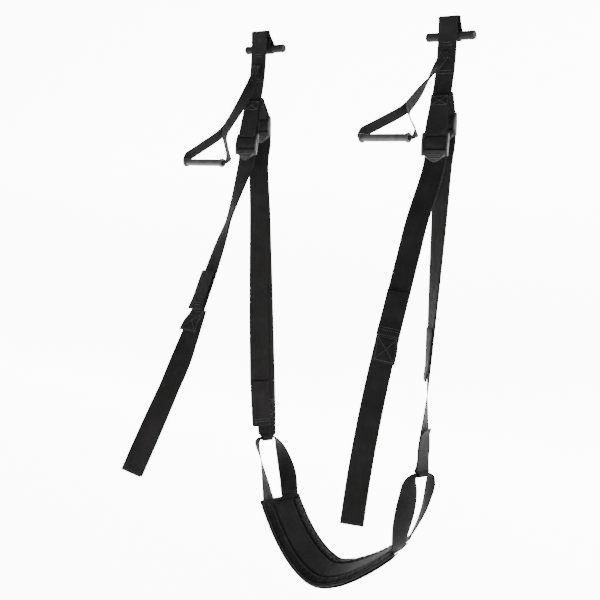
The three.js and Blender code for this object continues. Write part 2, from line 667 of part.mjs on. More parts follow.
// One webbing loop at the pad's end: up from the front corner, gathered through the strap's eye, and down to
// the back corner. It runs through the eye along the eye's own axis, and twists on both ways down.
function endLoop(side) {
  const frame = padFrame(side.sign < 0 ? 0 : 1);
  const away = vec(side.sign, 0, 0.9).normalize();
  const eyeTurn = side.seatFacing[2];
  const through = Math.sign(eyeTurn);
  const run = facing(eyeTurn).multiplyScalar(through);
  const crownTurn = eyeTurn + 90;
  const crown = eyeCentre(side);
  const legRow = (hand, share) => {
    const shoulder = crown.clone().addScaledVector(run, hand * 27).addScaledVector(UP, -9);
    const foot = frame.centre.clone().addScaledVector(frame.across, hand * (PAD_WIDTH / 2 - 27))
      .addScaledVector(away, 7);
    const p = shoulder.lerp(foot, share);
    if (hand > 0) p.add(vec(...side.loopBow, 0).multiplyScalar(Math.sin(Math.PI * share)));
    return [...p.toArray(), crownTurn + share * side.loopTwist[hand < 0 ? 0 : 1]];
  };
  const inEye = (hand) => {
    const p = crown.clone().addScaledVector(run, hand * 15).addScaledVector(UP, -1);
    return [...p.toArray(), crownTurn];
  };
  const shares = [0, 1 / 3, 2 / 3, 1];
  const line = strapLine([...shares.map((share) => legRow(-1, share)).reverse(), inEye(-1), inEye(1),
    ...shares.map((share) => legRow(1, share))]);
  const spread = line.map(({ point }) => THREE.MathUtils.smoothstep(point.distanceTo(crown), 20, 62));
  const at = (share) => spread[Math.round(share * (line.length - 1))];
  const width = (share) => THREE.MathUtils.lerp(LOOP_NECK, WEB - 4, at(share));
  const thick = (share) => THREE.MathUtils.lerp(LOOP_NECK_T, WEB_T, at(share));
  return strapLayer(line, 0, width, thick);
}

// ---- assembly ----
function buckleAt(parent, name, turnName, place) {
  const holder = new THREE.Group();
  holder.applyMatrix4(place);
  parent.add(holder);
  part(holder, name, buckleBody(), bucklePlastic());
  part(holder, turnName, strapTurn(), webbing());
}

function buckleFrame(bar, yaw, tilt) {
  return new THREE.Matrix4().makeTranslation(bar.x, bar.y, bar.z)
    .multiply(new THREE.Matrix4().makeRotationZ(rad(yaw)))
    .multiply(new THREE.Matrix4().makeRotationX(rad(-tilt)));
}

function addAnchor(sling, side, x) {
  part(sling, `${side.name}_top_fold`, topFold(x), webbing());
  part(sling, `${side.name}_front_drop`, frontDrop(x), webbing());
  part(sling, `${side.name}_back_strap`, backStrap(x, side.barY), webbing());
  const bar = new THREE.Group();
  bar.position.set(x, side.barY, BAR_Z);
  sling.add(bar);
  part(bar, `${side.name}_anchor_bar`, anchorBar(), barPaint());
  const capSeat = BAR_LENGTH / 2 - CAP_LENGTH / 2 + GAP;
  const outerCap = part(bar, `${side.name}_bar_cap_right`, barCap(), capPlastic());
  outerCap.position.x = capSeat;
  const innerCap = part(bar, `${side.name}_bar_cap_left`, barCap(), capPlastic());
  innerCap.position.x = -capSeat;
  innerCap.rotation.y = Math.PI;
}

function addBuckles(sling, side, x) {
  const frontBar = vec(x, -46, -262);
  const rearBar = vec(x, side.rearY, -216);
  const frontTab = buckleTab(x, FRONT_TAB_ENDS, frontBar, side.frontYaw);
  part(sling, `${side.name}_front_tab`, frontTab, webbing());
  part(sling, `${side.name}_rear_tab`, buckleTab(x, REAR_TAB_ENDS, rearBar, 0), webbing());
  const frontPlace = buckleFrame(frontBar, side.frontYaw, 13);
  const rearPlace = buckleFrame(rearBar, 0, 0);
  buckleAt(sling, `${side.name}_front_buckle`, `${side.name}_leg_turn`, frontPlace);
  buckleAt(sling, `${side.name}_rear_buckle`, `${side.name}_seat_turn`, rearPlace);
  return { frontPlace, rearPlace };
}

function addHandle(sling, side, x) {
  part(sling, `${side.name}_handle_strap`, handleStrap(side, x), webbing());
  const grip = new THREE.Group();
  grip.position.set(x, ...gripCentre(side));
  sling.add(grip);
  part(grip, `${side.name}_grip_tube`, gripTube(), gripPlastic());
  const seat = GRIP_LENGTH / 2 - COLLAR_LENGTH / 2;
  for (const [hand, word] of [[-1, 'left'], [1, 'right']]) {
    part(grip, `${side.name}_grip_collar_${word}`, gripCollar(), gripPlastic()).position.x = hand * seat;
  }
}

function addLeg(sling, side, place) {
  part(sling, `${side.name}_leg_strap`, legStrap(side, place), webbing());
  part(sling, `${side.name}_leg_tail`, legTail(side, place), webbing());
  part(sling, `${side.name}_leg_tail_end`, legTailEnd(side), webbing());
  part(sling, `${side.name}_stirrup_loop`, stirrupLoop(side), webbing());
  part(sling, `${side.name}_loop_patch`, loopPatch(side), webbing());
}

function addSeatStrap(sling, side, place) {
  part(sling, `${side.name}_seat_strap`, seatStrap(side, place), webbing());
  part(sling, `${side.name}_seat_tail`, seatTail(side, place), webbing());
  part(sling, `${side.name}_seat_tail_end`, seatTailEnd(side), webbing());
  part(sling, `${side.name}_seat_eye`, seatEye(side, place), webbing());
  part(sling, `${side.name}_end_loop`, endLoop(side), webbing());
}

function addSeat(sling) {
  const foamT = PAD_T - 2 * COVER_T - 2 * GAP;
  const coverRise = PAD_T / 2 - COVER_T / 2;
  const inside = PAD_WIDTH - 5;
  part(sling, 'seat_foam', padSlab(0, 0, inside - 4, foamT, 1), foam());
  part(sling, 'seat_cover_top', padSlab(coverRise, 0, inside, COVER_T), coverCloth());
  part(sling, 'seat_cover_bottom', padSlab(-coverRise, 0, inside, COVER_T), coverCloth());
  const edge = PAD_WIDTH / 2 - 1;
  part(sling, 'seat_binding_front', padSlab(0, -edge, 2, PAD_T), webbing());
  part(sling, 'seat_binding_back', padSlab(0, edge, 2, PAD_T), webbing());
  const webRise = -PAD_T / 2 - 4 * GAP - WEB_T / 2;
  const webShift = PAD_WIDTH / 2 - 27;
  part(sling, 'seat_webbing_front', padSlab(webRise, -webShift, WEB - 4, WEB_T, 1), webbing());
  part(sling, 'seat_webbing_back', padSlab(webRise, webShift, WEB - 4, WEB_T, 1), webbing());
}

const sling = new THREE.Group();
for (const side of SIDES) {
  const x = (side.sign * SPACING) / 2;
  addAnchor(sling, side, x);
  const { frontPlace, rearPlace } = addBuckles(sling, side, x);
  addHandle(sling, side, x);
  addLeg(sling, side, frontPlace);
  addSeatStrap(sling, side, rearPlace);
}
addSeat(sling);

export default sling;
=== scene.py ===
import json
import math

import bpy
import numpy as np
from mathutils import Matrix, Vector


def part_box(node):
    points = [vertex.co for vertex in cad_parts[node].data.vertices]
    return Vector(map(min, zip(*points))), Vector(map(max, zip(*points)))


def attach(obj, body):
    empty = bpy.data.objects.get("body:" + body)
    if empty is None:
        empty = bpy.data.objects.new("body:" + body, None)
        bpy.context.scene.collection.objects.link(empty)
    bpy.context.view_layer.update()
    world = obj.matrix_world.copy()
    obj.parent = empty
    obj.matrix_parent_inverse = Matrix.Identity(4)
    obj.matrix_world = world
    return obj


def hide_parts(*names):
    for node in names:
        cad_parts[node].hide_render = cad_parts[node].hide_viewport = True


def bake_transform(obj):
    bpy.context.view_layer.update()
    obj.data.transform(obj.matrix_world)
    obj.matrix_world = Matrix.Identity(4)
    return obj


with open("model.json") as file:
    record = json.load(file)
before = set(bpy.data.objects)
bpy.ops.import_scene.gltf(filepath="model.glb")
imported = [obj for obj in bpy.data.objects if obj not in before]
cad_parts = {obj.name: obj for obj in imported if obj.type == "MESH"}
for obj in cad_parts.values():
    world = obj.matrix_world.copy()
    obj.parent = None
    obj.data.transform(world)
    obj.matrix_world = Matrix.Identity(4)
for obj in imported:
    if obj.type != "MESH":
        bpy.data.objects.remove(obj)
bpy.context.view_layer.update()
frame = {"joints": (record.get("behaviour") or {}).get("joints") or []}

MM = 0.001

# ---- sizes, the same as the CAD model's ----
WEB, WEB_T, NARROW = 50 * MM, 2 * MM, 25 * MM
LAYER, TAIL_OUT = 2.5 * MM, 3.1 * MM
SPACING = 560 * MM
FOLD_Y = 11 * MM
BAR_R, BAR_LENGTH, BAR_WALL, CAP_LENGTH = 10 * MM, 118 * MM, 1.6 * MM, 7 * MM
GRIP_LENGTH, GRIP_R, GRIP_BORE = 124 * MM, 8.3 * MM, 6.3 * MM
COLLAR_R, COLLAR_LENGTH = 10.5 * MM, 6 * MM
BUCKLE_W, BUCKLE_H, PLATE_T, SLOT_W = 62 * MM, 68 * MM, 4.6 * MM, 51.4 * MM
TOP_BAR_V, TOP_BAR_R, MID_BAR_V, MID_BAR_R = 2.3 * MM, 2.3 * MM, 29 * MM, 2.6 * MM
MID_BAR_Z = TOP_BAR_V - MID_BAR_V
TURN_TOP_V = 8.7 * MM          # how high a strap rises in the buckle's window
PATCH_LENGTH = 66 * MM
LEG_SPLAY, SEAT_LEAN = 0.0507, 0.0359
LEG_TAIL_END, SEAT_TAIL_END, TAIL_COVER = 104 * MM, 124 * MM, 14 * MM
EYE_NECK, EYE_SEWN, EYE_R = 27 * MM, 48 * MM, 9 * MM
LOOP_NECK, LOOP_NECK_T = 11 * MM, 4.4 * MM
PAD_WIDTH, PAD_T = 120 * MM, 13 * MM
LEG_TOP, LEG_FOOT, LOOP_FOOT = -460 * MM, -694 * MM, -1070 * MM
SEAT_TOP, SEAT_TURN, SEAT_FOOT, EYE_Z = -330 * MM, -850 * MM, -998 * MM, -1056 * MM
FRONT_TILT = 13                # degrees that a front buckle's foot swings forward

# ---- sewing ----
SEW_IN = 4 * MM                # from a strap's edge to its outermost stitches
LIFT = 0.1 * MM                # how far a stitch's middle stands off the cloth
FACE = WEB_T / 2 + LIFT        # from webbing's middle to a stitch on its face
SEWN_HALF = WEB / 2 - SEW_IN
AXIS_R = 0.01 * MM             # a turned piece's middle, never quite closed

SIDES = [
    {
        "name": "left", "sign": -1, "front_yaw": 10,
        "stem": [(-11, -84), (-30, -150), (-134, -250)], "handle_twist": -1,
        "leg_slope": 0.48, "foot_slope": 0.66, "leg_foot_y": -218, "leg_facing": (-45, -10, 60),
        "patch_shift": -9, "opening": 30,
        "seat_y": (-4, -9), "seat_facing": (20, 48, 62), "seat_settle": 2,
        "seat_tail_end": -1026, "seat_tail_shift": -17,
        "loop_twist": (-56, 93), "loop_bow": (0, 12),
    },
    {
        "name": "right", "sign": 1, "front_yaw": 20,
        "stem": [(-10, -78), (-60, -135), (-161, -205)], "handle_twist": 1,
        "leg_slope": 0.53, "foot_slope": 0.3, "leg_foot_y": -257, "leg_facing": (31, 32, 34),
        "patch_shift": 3, "opening": 14,
        "seat_y": (-8, -40), "seat_facing": (-4, -55, -112), "seat_settle": 1.25,
        "seat_tail_end": -834, "seat_tail_shift": 0,
        "loop_twist": (114, -48), "loop_bow": (14, 0),
    },
]
JOINT_AT = {j["name"]: Vector(j["pos_m"]) for j in frame["joints"] if "pos_m" in j}
UP, RIGHT, BACK = np.array([0, 0, 1.0]), np.array([1.0, 0, 0]), np.array([0, 1.0, 0])


def linked(name, data):
    """A new object in the scene."""
    piece = bpy.data.objects.new(name, data)
    bpy.context.scene.collection.objects.link(piece)
    return piece


# ---- materials ----
class Nodes:
    """A short way to write a material's nodes."""

    def __init__(self, name):
        self.material = bpy.data.materials.new(name)
        self.material.use_nodes = True
        self.tree = self.material.node_tree
        self.shader = self.tree.nodes["Principled BSDF"]

    def add(self, kind, inputs=(), **settings):
        node = self.tree.nodes.new(kind)
        for key, value in settings.items():
            setattr(node, key, value)
        for key, value in dict(inputs).items():
            self.feed(node.inputs[key], value)
        return node

    def feed(self, socket, value):
        if isinstance(value, bpy.types.NodeSocket):
            self.tree.links.new(value, socket)
        else:
            socket.default_value = value

    def math(self, operation, a, b=0.0):
        return self.add("ShaderNodeMath", {0: a, 1: b}, operation=operation).outputs[0]

    def plus(self, a, b):
        return self.math("ADD", a, b)

    def times(self, a, b):
        return self.math("MULTIPLY", a, b)

    def wave(self, coordinate, pitch, phase=0.0):
        """A sine from -1 to 1 that repeats every `pitch` along a coordinate."""
        turned = self.math("MULTIPLY_ADD", coordinate, 2 * math.pi / pitch)
        turned.node.inputs[2].default_value = phase
        return self.math("SINE", turned)

    def noise(self, scale, detail=3.0):
        place = self.add("ShaderNodeTexCoord").outputs["Object"]
        inputs = {"Vector": place, "Scale": scale, "Detail": detail}
        return self.add("ShaderNodeTexNoise", inputs).outputs["Fac"]

    def blend(self, fac, low, high):
        ramp = self.add("ShaderNodeValToRGB", {"Fac": fac})
        ramp.color_ramp.elements[0].color = (*low, 1)
        ramp.color_ramp.elements[1].color = (*high, 1)
        ramp.color_ramp.elements[0].position = 0.3
        ramp.color_ramp.elements[1].position = 0.7
        return ramp.outputs["Color"]

    def finish(self, colour, height, distance, roughness, **constants):
        bump = self.add("ShaderNodeBump", {"Height": height, "Distance": distance, "Strength": 1.0})
        self.tree.links.new(bump.outputs["Normal"], self.shader.inputs["Normal"])
        self.feed(self.shader.inputs["Base Color"], colour)
        self.feed(self.shader.inputs["Roughness"], roughness)
        for key, value in constants.items():
            self.shader.inputs[key.replace("_", " ")].default_value = value
        return self.material


def uv_axes(nodes):
    """The UV in metres: across the cloth, and along it."""
    uv = nodes.add("ShaderNodeUVMap", uv_map="UVMap").outputs["UV"]
    split = nodes.add("ShaderNodeSeparateXYZ", {"Vector": uv})
    return split.outputs["X"], split.outputs["Y"]


def woven(name, dark, light, rib, pick, depth, slant=0.0, selvedge=0.0):
    """Woven cloth with ribs along it, picks across it, and on webbing a groove beside each edge."""
    nodes = Nodes(name)
    across, along = uv_axes(nodes)
    skewed = nodes.plus(along, nodes.times(across, slant))
    ribs = nodes.wave(across, rib)
    picks = nodes.wave(skewed, pick)
    weave = nodes.times(ribs, picks)
    height = nodes.plus(nodes.times(ribs, 0.35), nodes.times(weave, 0.5))
    if selvedge:
        inset = nodes.math("SUBTRACT", nodes.math("ABSOLUTE", across), selvedge)
        groove = nodes.math("LESS_THAN", nodes.math("ABSOLUTE", inset), 0.7 * MM)
        height = nodes.math("SUBTRACT", height, nodes.times(groove, 0.9))
    height = nodes.plus(height, nodes.times(nodes.noise(900), 0.5))
    patchy = nodes.plus(nodes.times(nodes.noise(22, 5.0), 0.75), nodes.times(weave, 0.16))
    colour = nodes.blend(patchy, dark, light)
    rough = nodes.plus(nodes.times(nodes.noise(120), 0.2), 0.72)
    return nodes.finish(colour, height, depth, rough, Sheen_Weight=0.01, Sheen_Roughness=0.45,
                        Specular_IOR_Level=0.05)


def moulded(name, dark, light, rough, grain, specular=0.5):
    """Moulded or painted surface: fine grain, a few scuffs, edges worn a little lighter, and painted
    shade darkening its hollows.
    """
    nodes = Nodes(name)
    edge = nodes.add("ShaderNodeNewGeometry").outputs["Pointiness"]
    # from pointiness: convex edges lighter as wear, concave hollows darker as painted shade
    wear_and_hollow_shade = nodes.times(nodes.math("SUBTRACT", edge, 0.5), 5.0)
    shade = nodes.plus(nodes.plus(nodes.noise(60, 4.0), wear_and_hollow_shade), -0.05)
    colour = nodes.blend(shade, dark, light)
    scuffs = nodes.times(nodes.noise(240, 6.0), 0.5)
    height = nodes.plus(nodes.noise(2600, 2.0), scuffs)
    roughness = nodes.plus(nodes.times(nodes.noise(180, 4.0), 0.22), rough)
    return nodes.finish(colour, height, grain, roughness, Specular_IOR_Level=specular)


WEBBING = woven("webbing_weave", (0.003, 0.0028, 0.0028), (0.0075, 0.0071, 0.0072),
                rib=1.55 * MM, pick=2.3 * MM, depth=0.3 * MM, slant=0.5, selvedge=22.6 * MM)
BINDING = woven("binding_weave", (0.0024, 0.0024, 0.0024), (0.006, 0.0058, 0.006),
                rib=1.2 * MM, pick=1.6 * MM, depth=0.25 * MM)
COVER = woven("cover_cloth_weave", (0.0022, 0.0022, 0.0023), (0.0062, 0.006, 0.0063),
              rib=0.9 * MM, pick=0.9 * MM, depth=0.22 * MM)
THREAD = moulded("thread", (0.004, 0.004, 0.0041), (0.0095, 0.0093, 0.0095), rough=0.55, grain=0.05 * MM)
BUCKLE = moulded("buckle_plastic", (0.005, 0.005, 0.0053), (0.013, 0.013, 0.0135),
                 rough=0.45, grain=0.04 * MM, specular=0.16)
GRIP = moulded("grip_plastic", (0.009, 0.009, 0.0095), (0.018, 0.018, 0.019),
               rough=0.34, grain=0.03 * MM, specular=0.16)
BLACK, WORN_BLACK = (0.003, 0.003, 0.0032), (0.006, 0.006, 0.0063)
PAINT = moulded("bar_paint", BLACK, WORN_BLACK, rough=0.6, grain=0.04 * MM, specular=0.08)
CAP = moulded("cap_plastic", BLACK, WORN_BLACK, rough=0.6, grain=0.05 * MM, specular=0.08)


# ---- curves and frames ----
def unit(v):
    v = np.asarray(v, float)
    return v / np.maximum(np.linalg.norm(v, axis=-1, keepdims=True), 1e-12)


def facing(degrees):
    """The level direction of a strap's width, `degrees` round from the door."""
    angle = np.radians(np.asarray(degrees, float))
    return np.stack([np.cos(angle), np.sin(angle), np.zeros_like(angle)], axis=-1)


def catmull(points, per_gap):
    """Points on a centripetal Catmull-Rom curve."""
    p = [np.asarray(q, float) for q in points]
    p = [2 * p[0] - p[1], *p, 2 * p[-1] - p[-2]]
    out = []
    for a, b, c, d in zip(p, p[1:], p[2:], p[3:]):
        before, here, after = (math.sqrt(max(np.linalg.norm(v - u), 1e-9))
                               for u, v in ((a, b), (b, c), (c, d)))
        first = ((b - a) / before - (c - a) / (before + here) + (c - b) / here) * here
        second = ((c - b) / here - (d - b) / (here + after) + (d - c) / after) * here
        for k in range(per_gap):
            s = k / per_gap
            out.append(b + first * s + (3 * (c - b) - 2 * first - second) * s ** 2
                       + (2 * (b - c) + first + second) * s ** 3)
    return np.array(out + [p[-2]])


def run_length(points):
    """How far along a line of points each one lies."""
    return np.concatenate([[0], np.cumsum(np.linalg.norm(np.diff(points, axis=0), axis=1))])


class Frames:
    """Stations along a band: middle point, width direction, and direction out of its front face."""

    def __init__(self, point, side):
        self.point = np.asarray(point, float)
        along = unit(np.gradient(self.point, axis=0))
        side = np.broadcast_to(side, self.point.shape)
        self.side = unit(side - along * np.sum(side * along, axis=1, keepdims=True))
        self.up = np.cross(along, self.side)
        self.length = run_length(self.point)

    def part(self, start, end=None):
        return self.moved(slice(start, end))

    def moved(self, keep=slice(None), out=0.0, shift=0.0):
        out, shift = (np.asarray(v, float).reshape(-1, 1) if np.ndim(v) else v for v in (out, shift))
        copy = Frames.__new__(Frames)
        copy.side, copy.up = self.side[keep], self.up[keep]
        copy.point = self.point[keep] + copy.up * out + copy.side * shift
        copy.length = self.length[keep] - self.length[keep][0]
        return copy

    def rings(self, across, above):
        """An outline's points at every station."""
        return (self.point[:, None] + self.side[:, None] * across[..., None]
                + self.up[:, None] * above[..., None])

    def at(self, v):
        found = [np.array([np.interp(v, self.length, a[:, k]) for k in range(3)])
                 for a in (self.point, self.side, self.up)]
        return found[0], unit(found[1]), unit(found[2])


def soften(values, reach):
    """A running mean that keeps the ends."""
    padded = np.pad(np.asarray(values, float), reach, mode="edge")
    return np.convolve(padded, np.ones(2 * reach + 1) / (2 * reach + 1), mode="valid")


def strap_frames(rows, per_gap=14):
    """Stations through rows of (x, y, z, facing in degrees)."""
    rows = np.array(rows, float)
    points = catmull(rows[:, :3], per_gap)
    place = np.linspace(0, len(rows) - 1, len(points))
    turns = soften(np.interp(place, np.arange(len(rows)), rows[:, 3]), per_gap // 2)
    return Frames(points, facing(turns))


def joined(*runs):
    """Several runs of stations as one band."""
    copy = Frames.__new__(Frames)
    for key in ("point", "side", "up"):
        setattr(copy, key, np.concatenate([getattr(run, key) for run in runs]))
    copy.length = run_length(copy.point)
    return copy


def smoothstep(x, low, high):
    t = np.clip((np.asarray(x, float) - low) / (high - low), 0, 1)
    return t * t * (3 - 2 * t)


def lerp(a, b, share):
    return a + (b - a) * share


# ---- meshes ----
FLAT = [(x, 0, 1) for x in np.linspace(1, -1, 11)]
EDGE = [(math.cos(a), math.sin(a)) for a in np.radians([126, 162, 198, 234])]
PROFILE = np.array(FLAT + [(-1, c, s) for c, s in EDGE] + [(-x, 0, -1) for x, _, _ in FLAT]
                   + [(1, -c, -s) for c, s in EDGE])


class Builder:
    """Gathers the faces of one piece, each with a UV in metres and a material."""

    def __init__(self, *materials):
        self.materials = materials
        self.points, self.faces, self.uvs, self.slots = [], [], [], []

    def skin(self, rings, uvs, slot=0, loop=False):
        """Closed rings joined into a tube with capped ends, or into a ring where `loop`."""
        n, m = rings.shape[:2]
        base = sum(len(p) for p in self.points)
        self.points.append(rings.reshape(-1, 3))
        uvs = uvs.reshape(-1, 2)
        for i in range(n if loop else n - 1):
            for j in range(m):
                here, there, next_j = i * m, (i + 1) % n * m, (j + 1) % m
                self.face(base, [here + j, here + next_j, there + next_j, there + j], uvs, slot)
        if not loop:
            self.face(base, list(range(m))[::-1], uvs, slot)
            self.face(base, [(n - 1) * m + j for j in range(m)], uvs, slot)

    def face(self, base, corners, uvs, slot):
        self.faces.append([base + c for c in corners])
        self.uvs.extend(uvs[corners])
        self.slots.append(slot)

    def band(self, frames, width, thick=WEB_T, cup=0.0):
        """A strap with rounded edges along its stations, its middle raised by `cup`."""
        n = len(frames.point)
        width, thick = (np.broadcast_to(v, n).reshape(-1, 1) for v in (width, thick))
        a = PROFILE[:, 0] * (width - thick) / 2 + PROFILE[:, 1] * thick / 2
        b = PROFILE[:, 2] * thick / 2 + cup * (1 - (2 * a / width) ** 2)
        along = np.broadcast_to(frames.length[:, None], a.shape)
        self.skin(frames.rings(a, b), np.stack([a, along], axis=-1))

    def rows(self, frames, half, places, out):
        """Rows of stitches straight across a band."""
        for v in places:
            self.stitches(frames, [(-half, v), (half, v)], out)

    def boxed(self, frames, start, end, half, out):
        """A sewn rectangle with a cross in it."""
        rim = [(-half, start), (half, start), (half, end), (-half, end), (-half, start)]
        for line in (rim, [(-half, start), (half, end)], [(half, start), (-half, end)]):
            self.stitches(frames, line, out)

    def stitches(self, frames, line, out, pitch=4.2 * MM, slot=1):
        """Short stitches along a line of (across, along) on a band's face, `out` from its middle."""
        line = np.array(line, float)
        for (u0, v0), (u1, v1) in zip(line, line[1:]):
            count = max(int(math.hypot(u1 - u0, v1 - v0) / pitch), 1)
            for k in range(count):
                ends = []
                for share in ((k + 0.14) / count, (k + 0.86) / count):
                    p, side, up = frames.at(lerp(v0, v1, share))
                    ends.append(p + side * lerp(u0, u1, share) + up * out)
                self.stitch(*ends, up * np.sign(out), slot)

    def stitch(self, start, end, normal, slot, radius=0.42 * MM):
        way = unit(end - start)
        across = np.cross(normal, way)
        angles = np.linspace(0, 2 * math.pi, 7)[:-1]
        rings = []
        for share, size in ((0, 0.25), (0.14, 0.85), (0.5, 1.0), (0.86, 0.85), (1, 0.25)):
            centre = lerp(start, end, share)
            rings.append([centre + (across * math.cos(t) + normal * 0.75 * math.sin(t)) * radius * size
                          for t in -angles])
        self.skin(np.array(rings)[:, ::-1], np.zeros((5, 6, 2)), slot)

    def turned(self, profile, centre, segments=72):
        """A round piece about X from a closed profile of (radius, along), counter-clockwise."""
        profile = np.array(profile)
        angles = np.linspace(0, 2 * math.pi, segments + 1)[:-1]
        ring = np.stack([np.zeros(segments), np.cos(angles), np.sin(angles)], axis=-1)
        rings = profile[:, 0, None, None] * ring + profile[:, 1, None, None] * RIGHT + np.array(centre)
        uvs = np.stack(np.meshgrid(angles * 0.01, profile[:, 1]), axis=-1)
        self.skin(rings, uvs, loop=True)

    def build(self, name):
        mesh = bpy.data.meshes.new(name)
        mesh.from_pydata(np.concatenate(self.points).tolist(), [], self.faces)
        layer = mesh.uv_layers.new(name="UVMap")
        layer.data.foreach_set("uv", np.array(self.uvs, float).ravel())
        for material in self.materials:
            mesh.materials.append(material)
        mesh.polygons.foreach_set("material_index", self.slots)
        mesh.polygons.foreach_set("use_smooth", [True] * len(mesh.polygons))
        mesh.update()
        return linked(name, mesh)


def rounded(corners, radius, steps=5):
    """A closed outline with its corners rounded."""
    corners = [np.asarray(c, float) for c in corners]
    out = []
    for i, corner in enumerate(corners):
        before, after = corners[i - 1] - corner, corners[(i + 1) % len(corners)] - corner
        reach = min(radius, 0.48 * np.linalg.norm(before), 0.48 * np.linalg.norm(after))
        a, b = corner + unit(before) * reach, corner + unit(after) * reach
        for k in range(steps + 1):
            s = k / steps
            out.append((1 - s) ** 2 * a + 2 * s * (1 - s) * corner + s ** 2 * b)
    return out


def rectangle(left, right, low, high, radius):
    return rounded([(left, low), (right, low), (right, high), (left, high)], radius)


def arc(centre, first, second, angles):
    """Points round a centre, from the direction and reach of `first` toward those of `second`."""
    return [centre + first * math.cos(a) + second * math.sin(a) for a in angles]


def applied(piece):
    """The piece with its modifiers made part of its mesh."""
    graph = bpy.context.evaluated_depsgraph_get()
    mesh = bpy.data.meshes.new_from_object(piece.evaluated_get(graph))
    piece.modifiers.clear()
    piece.data = mesh
    return piece


def place(piece, body, slot, *nodes):
    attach(piece, body)
    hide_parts(*nodes)


def bend(piece, bodies, start, end, slot, *nodes):
    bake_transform(piece)
    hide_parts(*nodes)


# ---- over-door anchor ----
DROP_TOP_Y, DROP_TOP_Z = -1.3, 2
DROP_FOOT_Y, DROP_FOOT_Z, DROP_BEND = -27, -184, 2.4
JOINT_GAP = 3 * MM             # below a joint: where the span given to bend starts


def in_plane(x, pairs):
    return np.array([(x, y * MM, z * MM) for y, z in pairs])


def drop_y(z):
    """How far forward the front drop is at a height: upright at the door, then out to the buckles."""
    share = (DROP_TOP_Z - z) / (DROP_TOP_Z - DROP_FOOT_Z)
    return DROP_TOP_Y + (DROP_FOOT_Y - DROP_TOP_Y) * share ** DROP_BEND


def drop_frames(x):
    fold = [(5.5, 1), (3, 1), (0.8, 0.9), (-0.7, 0.1), (-1.2, -1.6)]
    drop = [(drop_y(z), z) for z in np.linspace(-5, DROP_FOOT_Z, 9)]
    return Frames(catmull(in_plane(x, fold + drop), 8), RIGHT)


def front_drop(side, x):
    name = side["name"]
    frames = drop_frames(x)
    cloth = Builder(WEBBING, THREAD)
    cloth.band(frames, WEB)
    total = frames.length[-1]
    cloth.rows(frames, SEWN_HALF, (total - 66 * MM, total - 59 * MM), FACE)
    cloth.rows(frames, 11 * MM, (64 * MM, 70 * MM, 92 * MM, 98 * MM), FACE)
    fold = JOINT_AT["sling_swing"]
    bend(cloth.build(f"{name}_front_webbing"), ("door_top", "front_drops"),
         (x, fold.y, fold.z - JOINT_GAP), (x, fold.y, fold.z - 32 * MM),
         "webbing", f"{name}_top_fold", f"{name}_front_drop")


def back_strap(side, x):
    name = side["name"]
    bar = JOINT_AT[f"{name}_bar_turn"]
    radius = BAR_R + 0.5 * MM + WEB_T / 2
    middle = np.array((x, bar.y, bar.z))
    sleeve = arc(middle, BACK * radius, UP * radius, np.radians(np.linspace(0, -180, 19)))
    top = in_plane(x, [(5.5, 1), (9, 1), (11.2, 0.6), (12.3, -1), (12.4, -5)])
    inner = [(x, bar.y - radius, bar.z + 3 * MM),
             (x, lerp(FOLD_Y, bar.y + radius, 0.3) - 2.6 * MM, -18 * MM)]
    outer = [(x, bar.y + radius, bar.z + 4 * MM)]
    frames = Frames(catmull([*top, *outer, *sleeve[1:], *inner], 5), RIGHT)
    cloth = Builder(WEBBING, THREAD)
    cloth.band(frames, WEB)
    down = frames.length[np.argmax(frames.point[:, 2] < bar.z + 13 * MM)]
    cloth.rows(frames, SEWN_HALF, (down - 8 * MM, down), FACE)
    swing = JOINT_AT[f"{name}_anchor_swing"]
    bend(cloth.build(f"{name}_back_webbing"), ("door_top", f"{name}_anchor"),
         (x, swing.y, swing.z - JOINT_GAP), (x, swing.y, swing.z - 20 * MM),
         "webbing", f"{name}_back_strap")


def anchor_bar(side):
    """The bar behind the door: a painted tube with a plug in each end."""
    name = side["name"]
    centre = JOINT_AT[f"{name}_bar_turn"]
    half = BAR_LENGTH / 2 - CAP_LENGTH / 2
    inner = BAR_R - BAR_WALL
    tube = Builder(PAINT)
    tube.turned(rectangle(inner, BAR_R, -half, half, 0.5 * MM), centre)
    place(tube.build(f"{name}_bar_tube"), f"{name}_bar", "bar_paint", f"{name}_anchor_bar")
    for hand, word in ((1, "right"), (-1, "left")):
        seat = half + 0.3 * MM
        rim = BAR_R + 0.4 * MM
        plug = inner - 0.3 * MM
        outline = [(AXIS_R, -6 * MM), (plug, -6 * MM), (plug, 0), (rim, 0), (rim, 4.6 * MM),
                   (BAR_R - 2 * MM, 6.8 * MM), (AXIS_R, CAP_LENGTH)]
        profile = [(r, hand * (seat + a)) for r, a in rounded(outline, 1.1 * MM)][::hand]
        cap = Builder(CAP)
        cap.turned(profile, centre)
        place(cap.build(f"{name}_bar_end_{word}"), f"{name}_bar", "cap_plastic", f"{name}_bar_cap_{word}")


# ---- buckles, in their own frame: X across, Z up from the top bar's axis, -Y to the front ----
BUCKLE_BEVEL = 0.9 * MM
LIP_TOP = TOP_BAR_V - 44 * MM
LIP_RAISED = 8                 # degrees that the lever lip stands out to the front


def curve_plate(outlines, depth, bevel):
    """A flat plate with holes from closed outlines of (x, z), its edges rounded."""
    data = bpy.data.curves.new("plate", "CURVE")
    data.dimensions, data.fill_mode = "2D", "BOTH"
    data.extrude, data.bevel_depth, data.bevel_resolution = depth / 2 - bevel, bevel, 3
    for outline in outlines:
        spline = data.splines.new("POLY")
        spline.points.add(len(outline) - 1)
        spline.points.foreach_set("co", [c for x, z in outline for c in (x, z, 0, 1)])
        spline.use_cyclic_u = True
    holder = linked("plate", data)
    graph = bpy.context.evaluated_depsgraph_get()
    mesh = bpy.data.meshes.new_from_object(holder.evaluated_get(graph))
    bpy.data.objects.remove(holder)
    mesh.transform(Matrix.Rotation(math.pi / 2, 4, "X"))
    return mesh


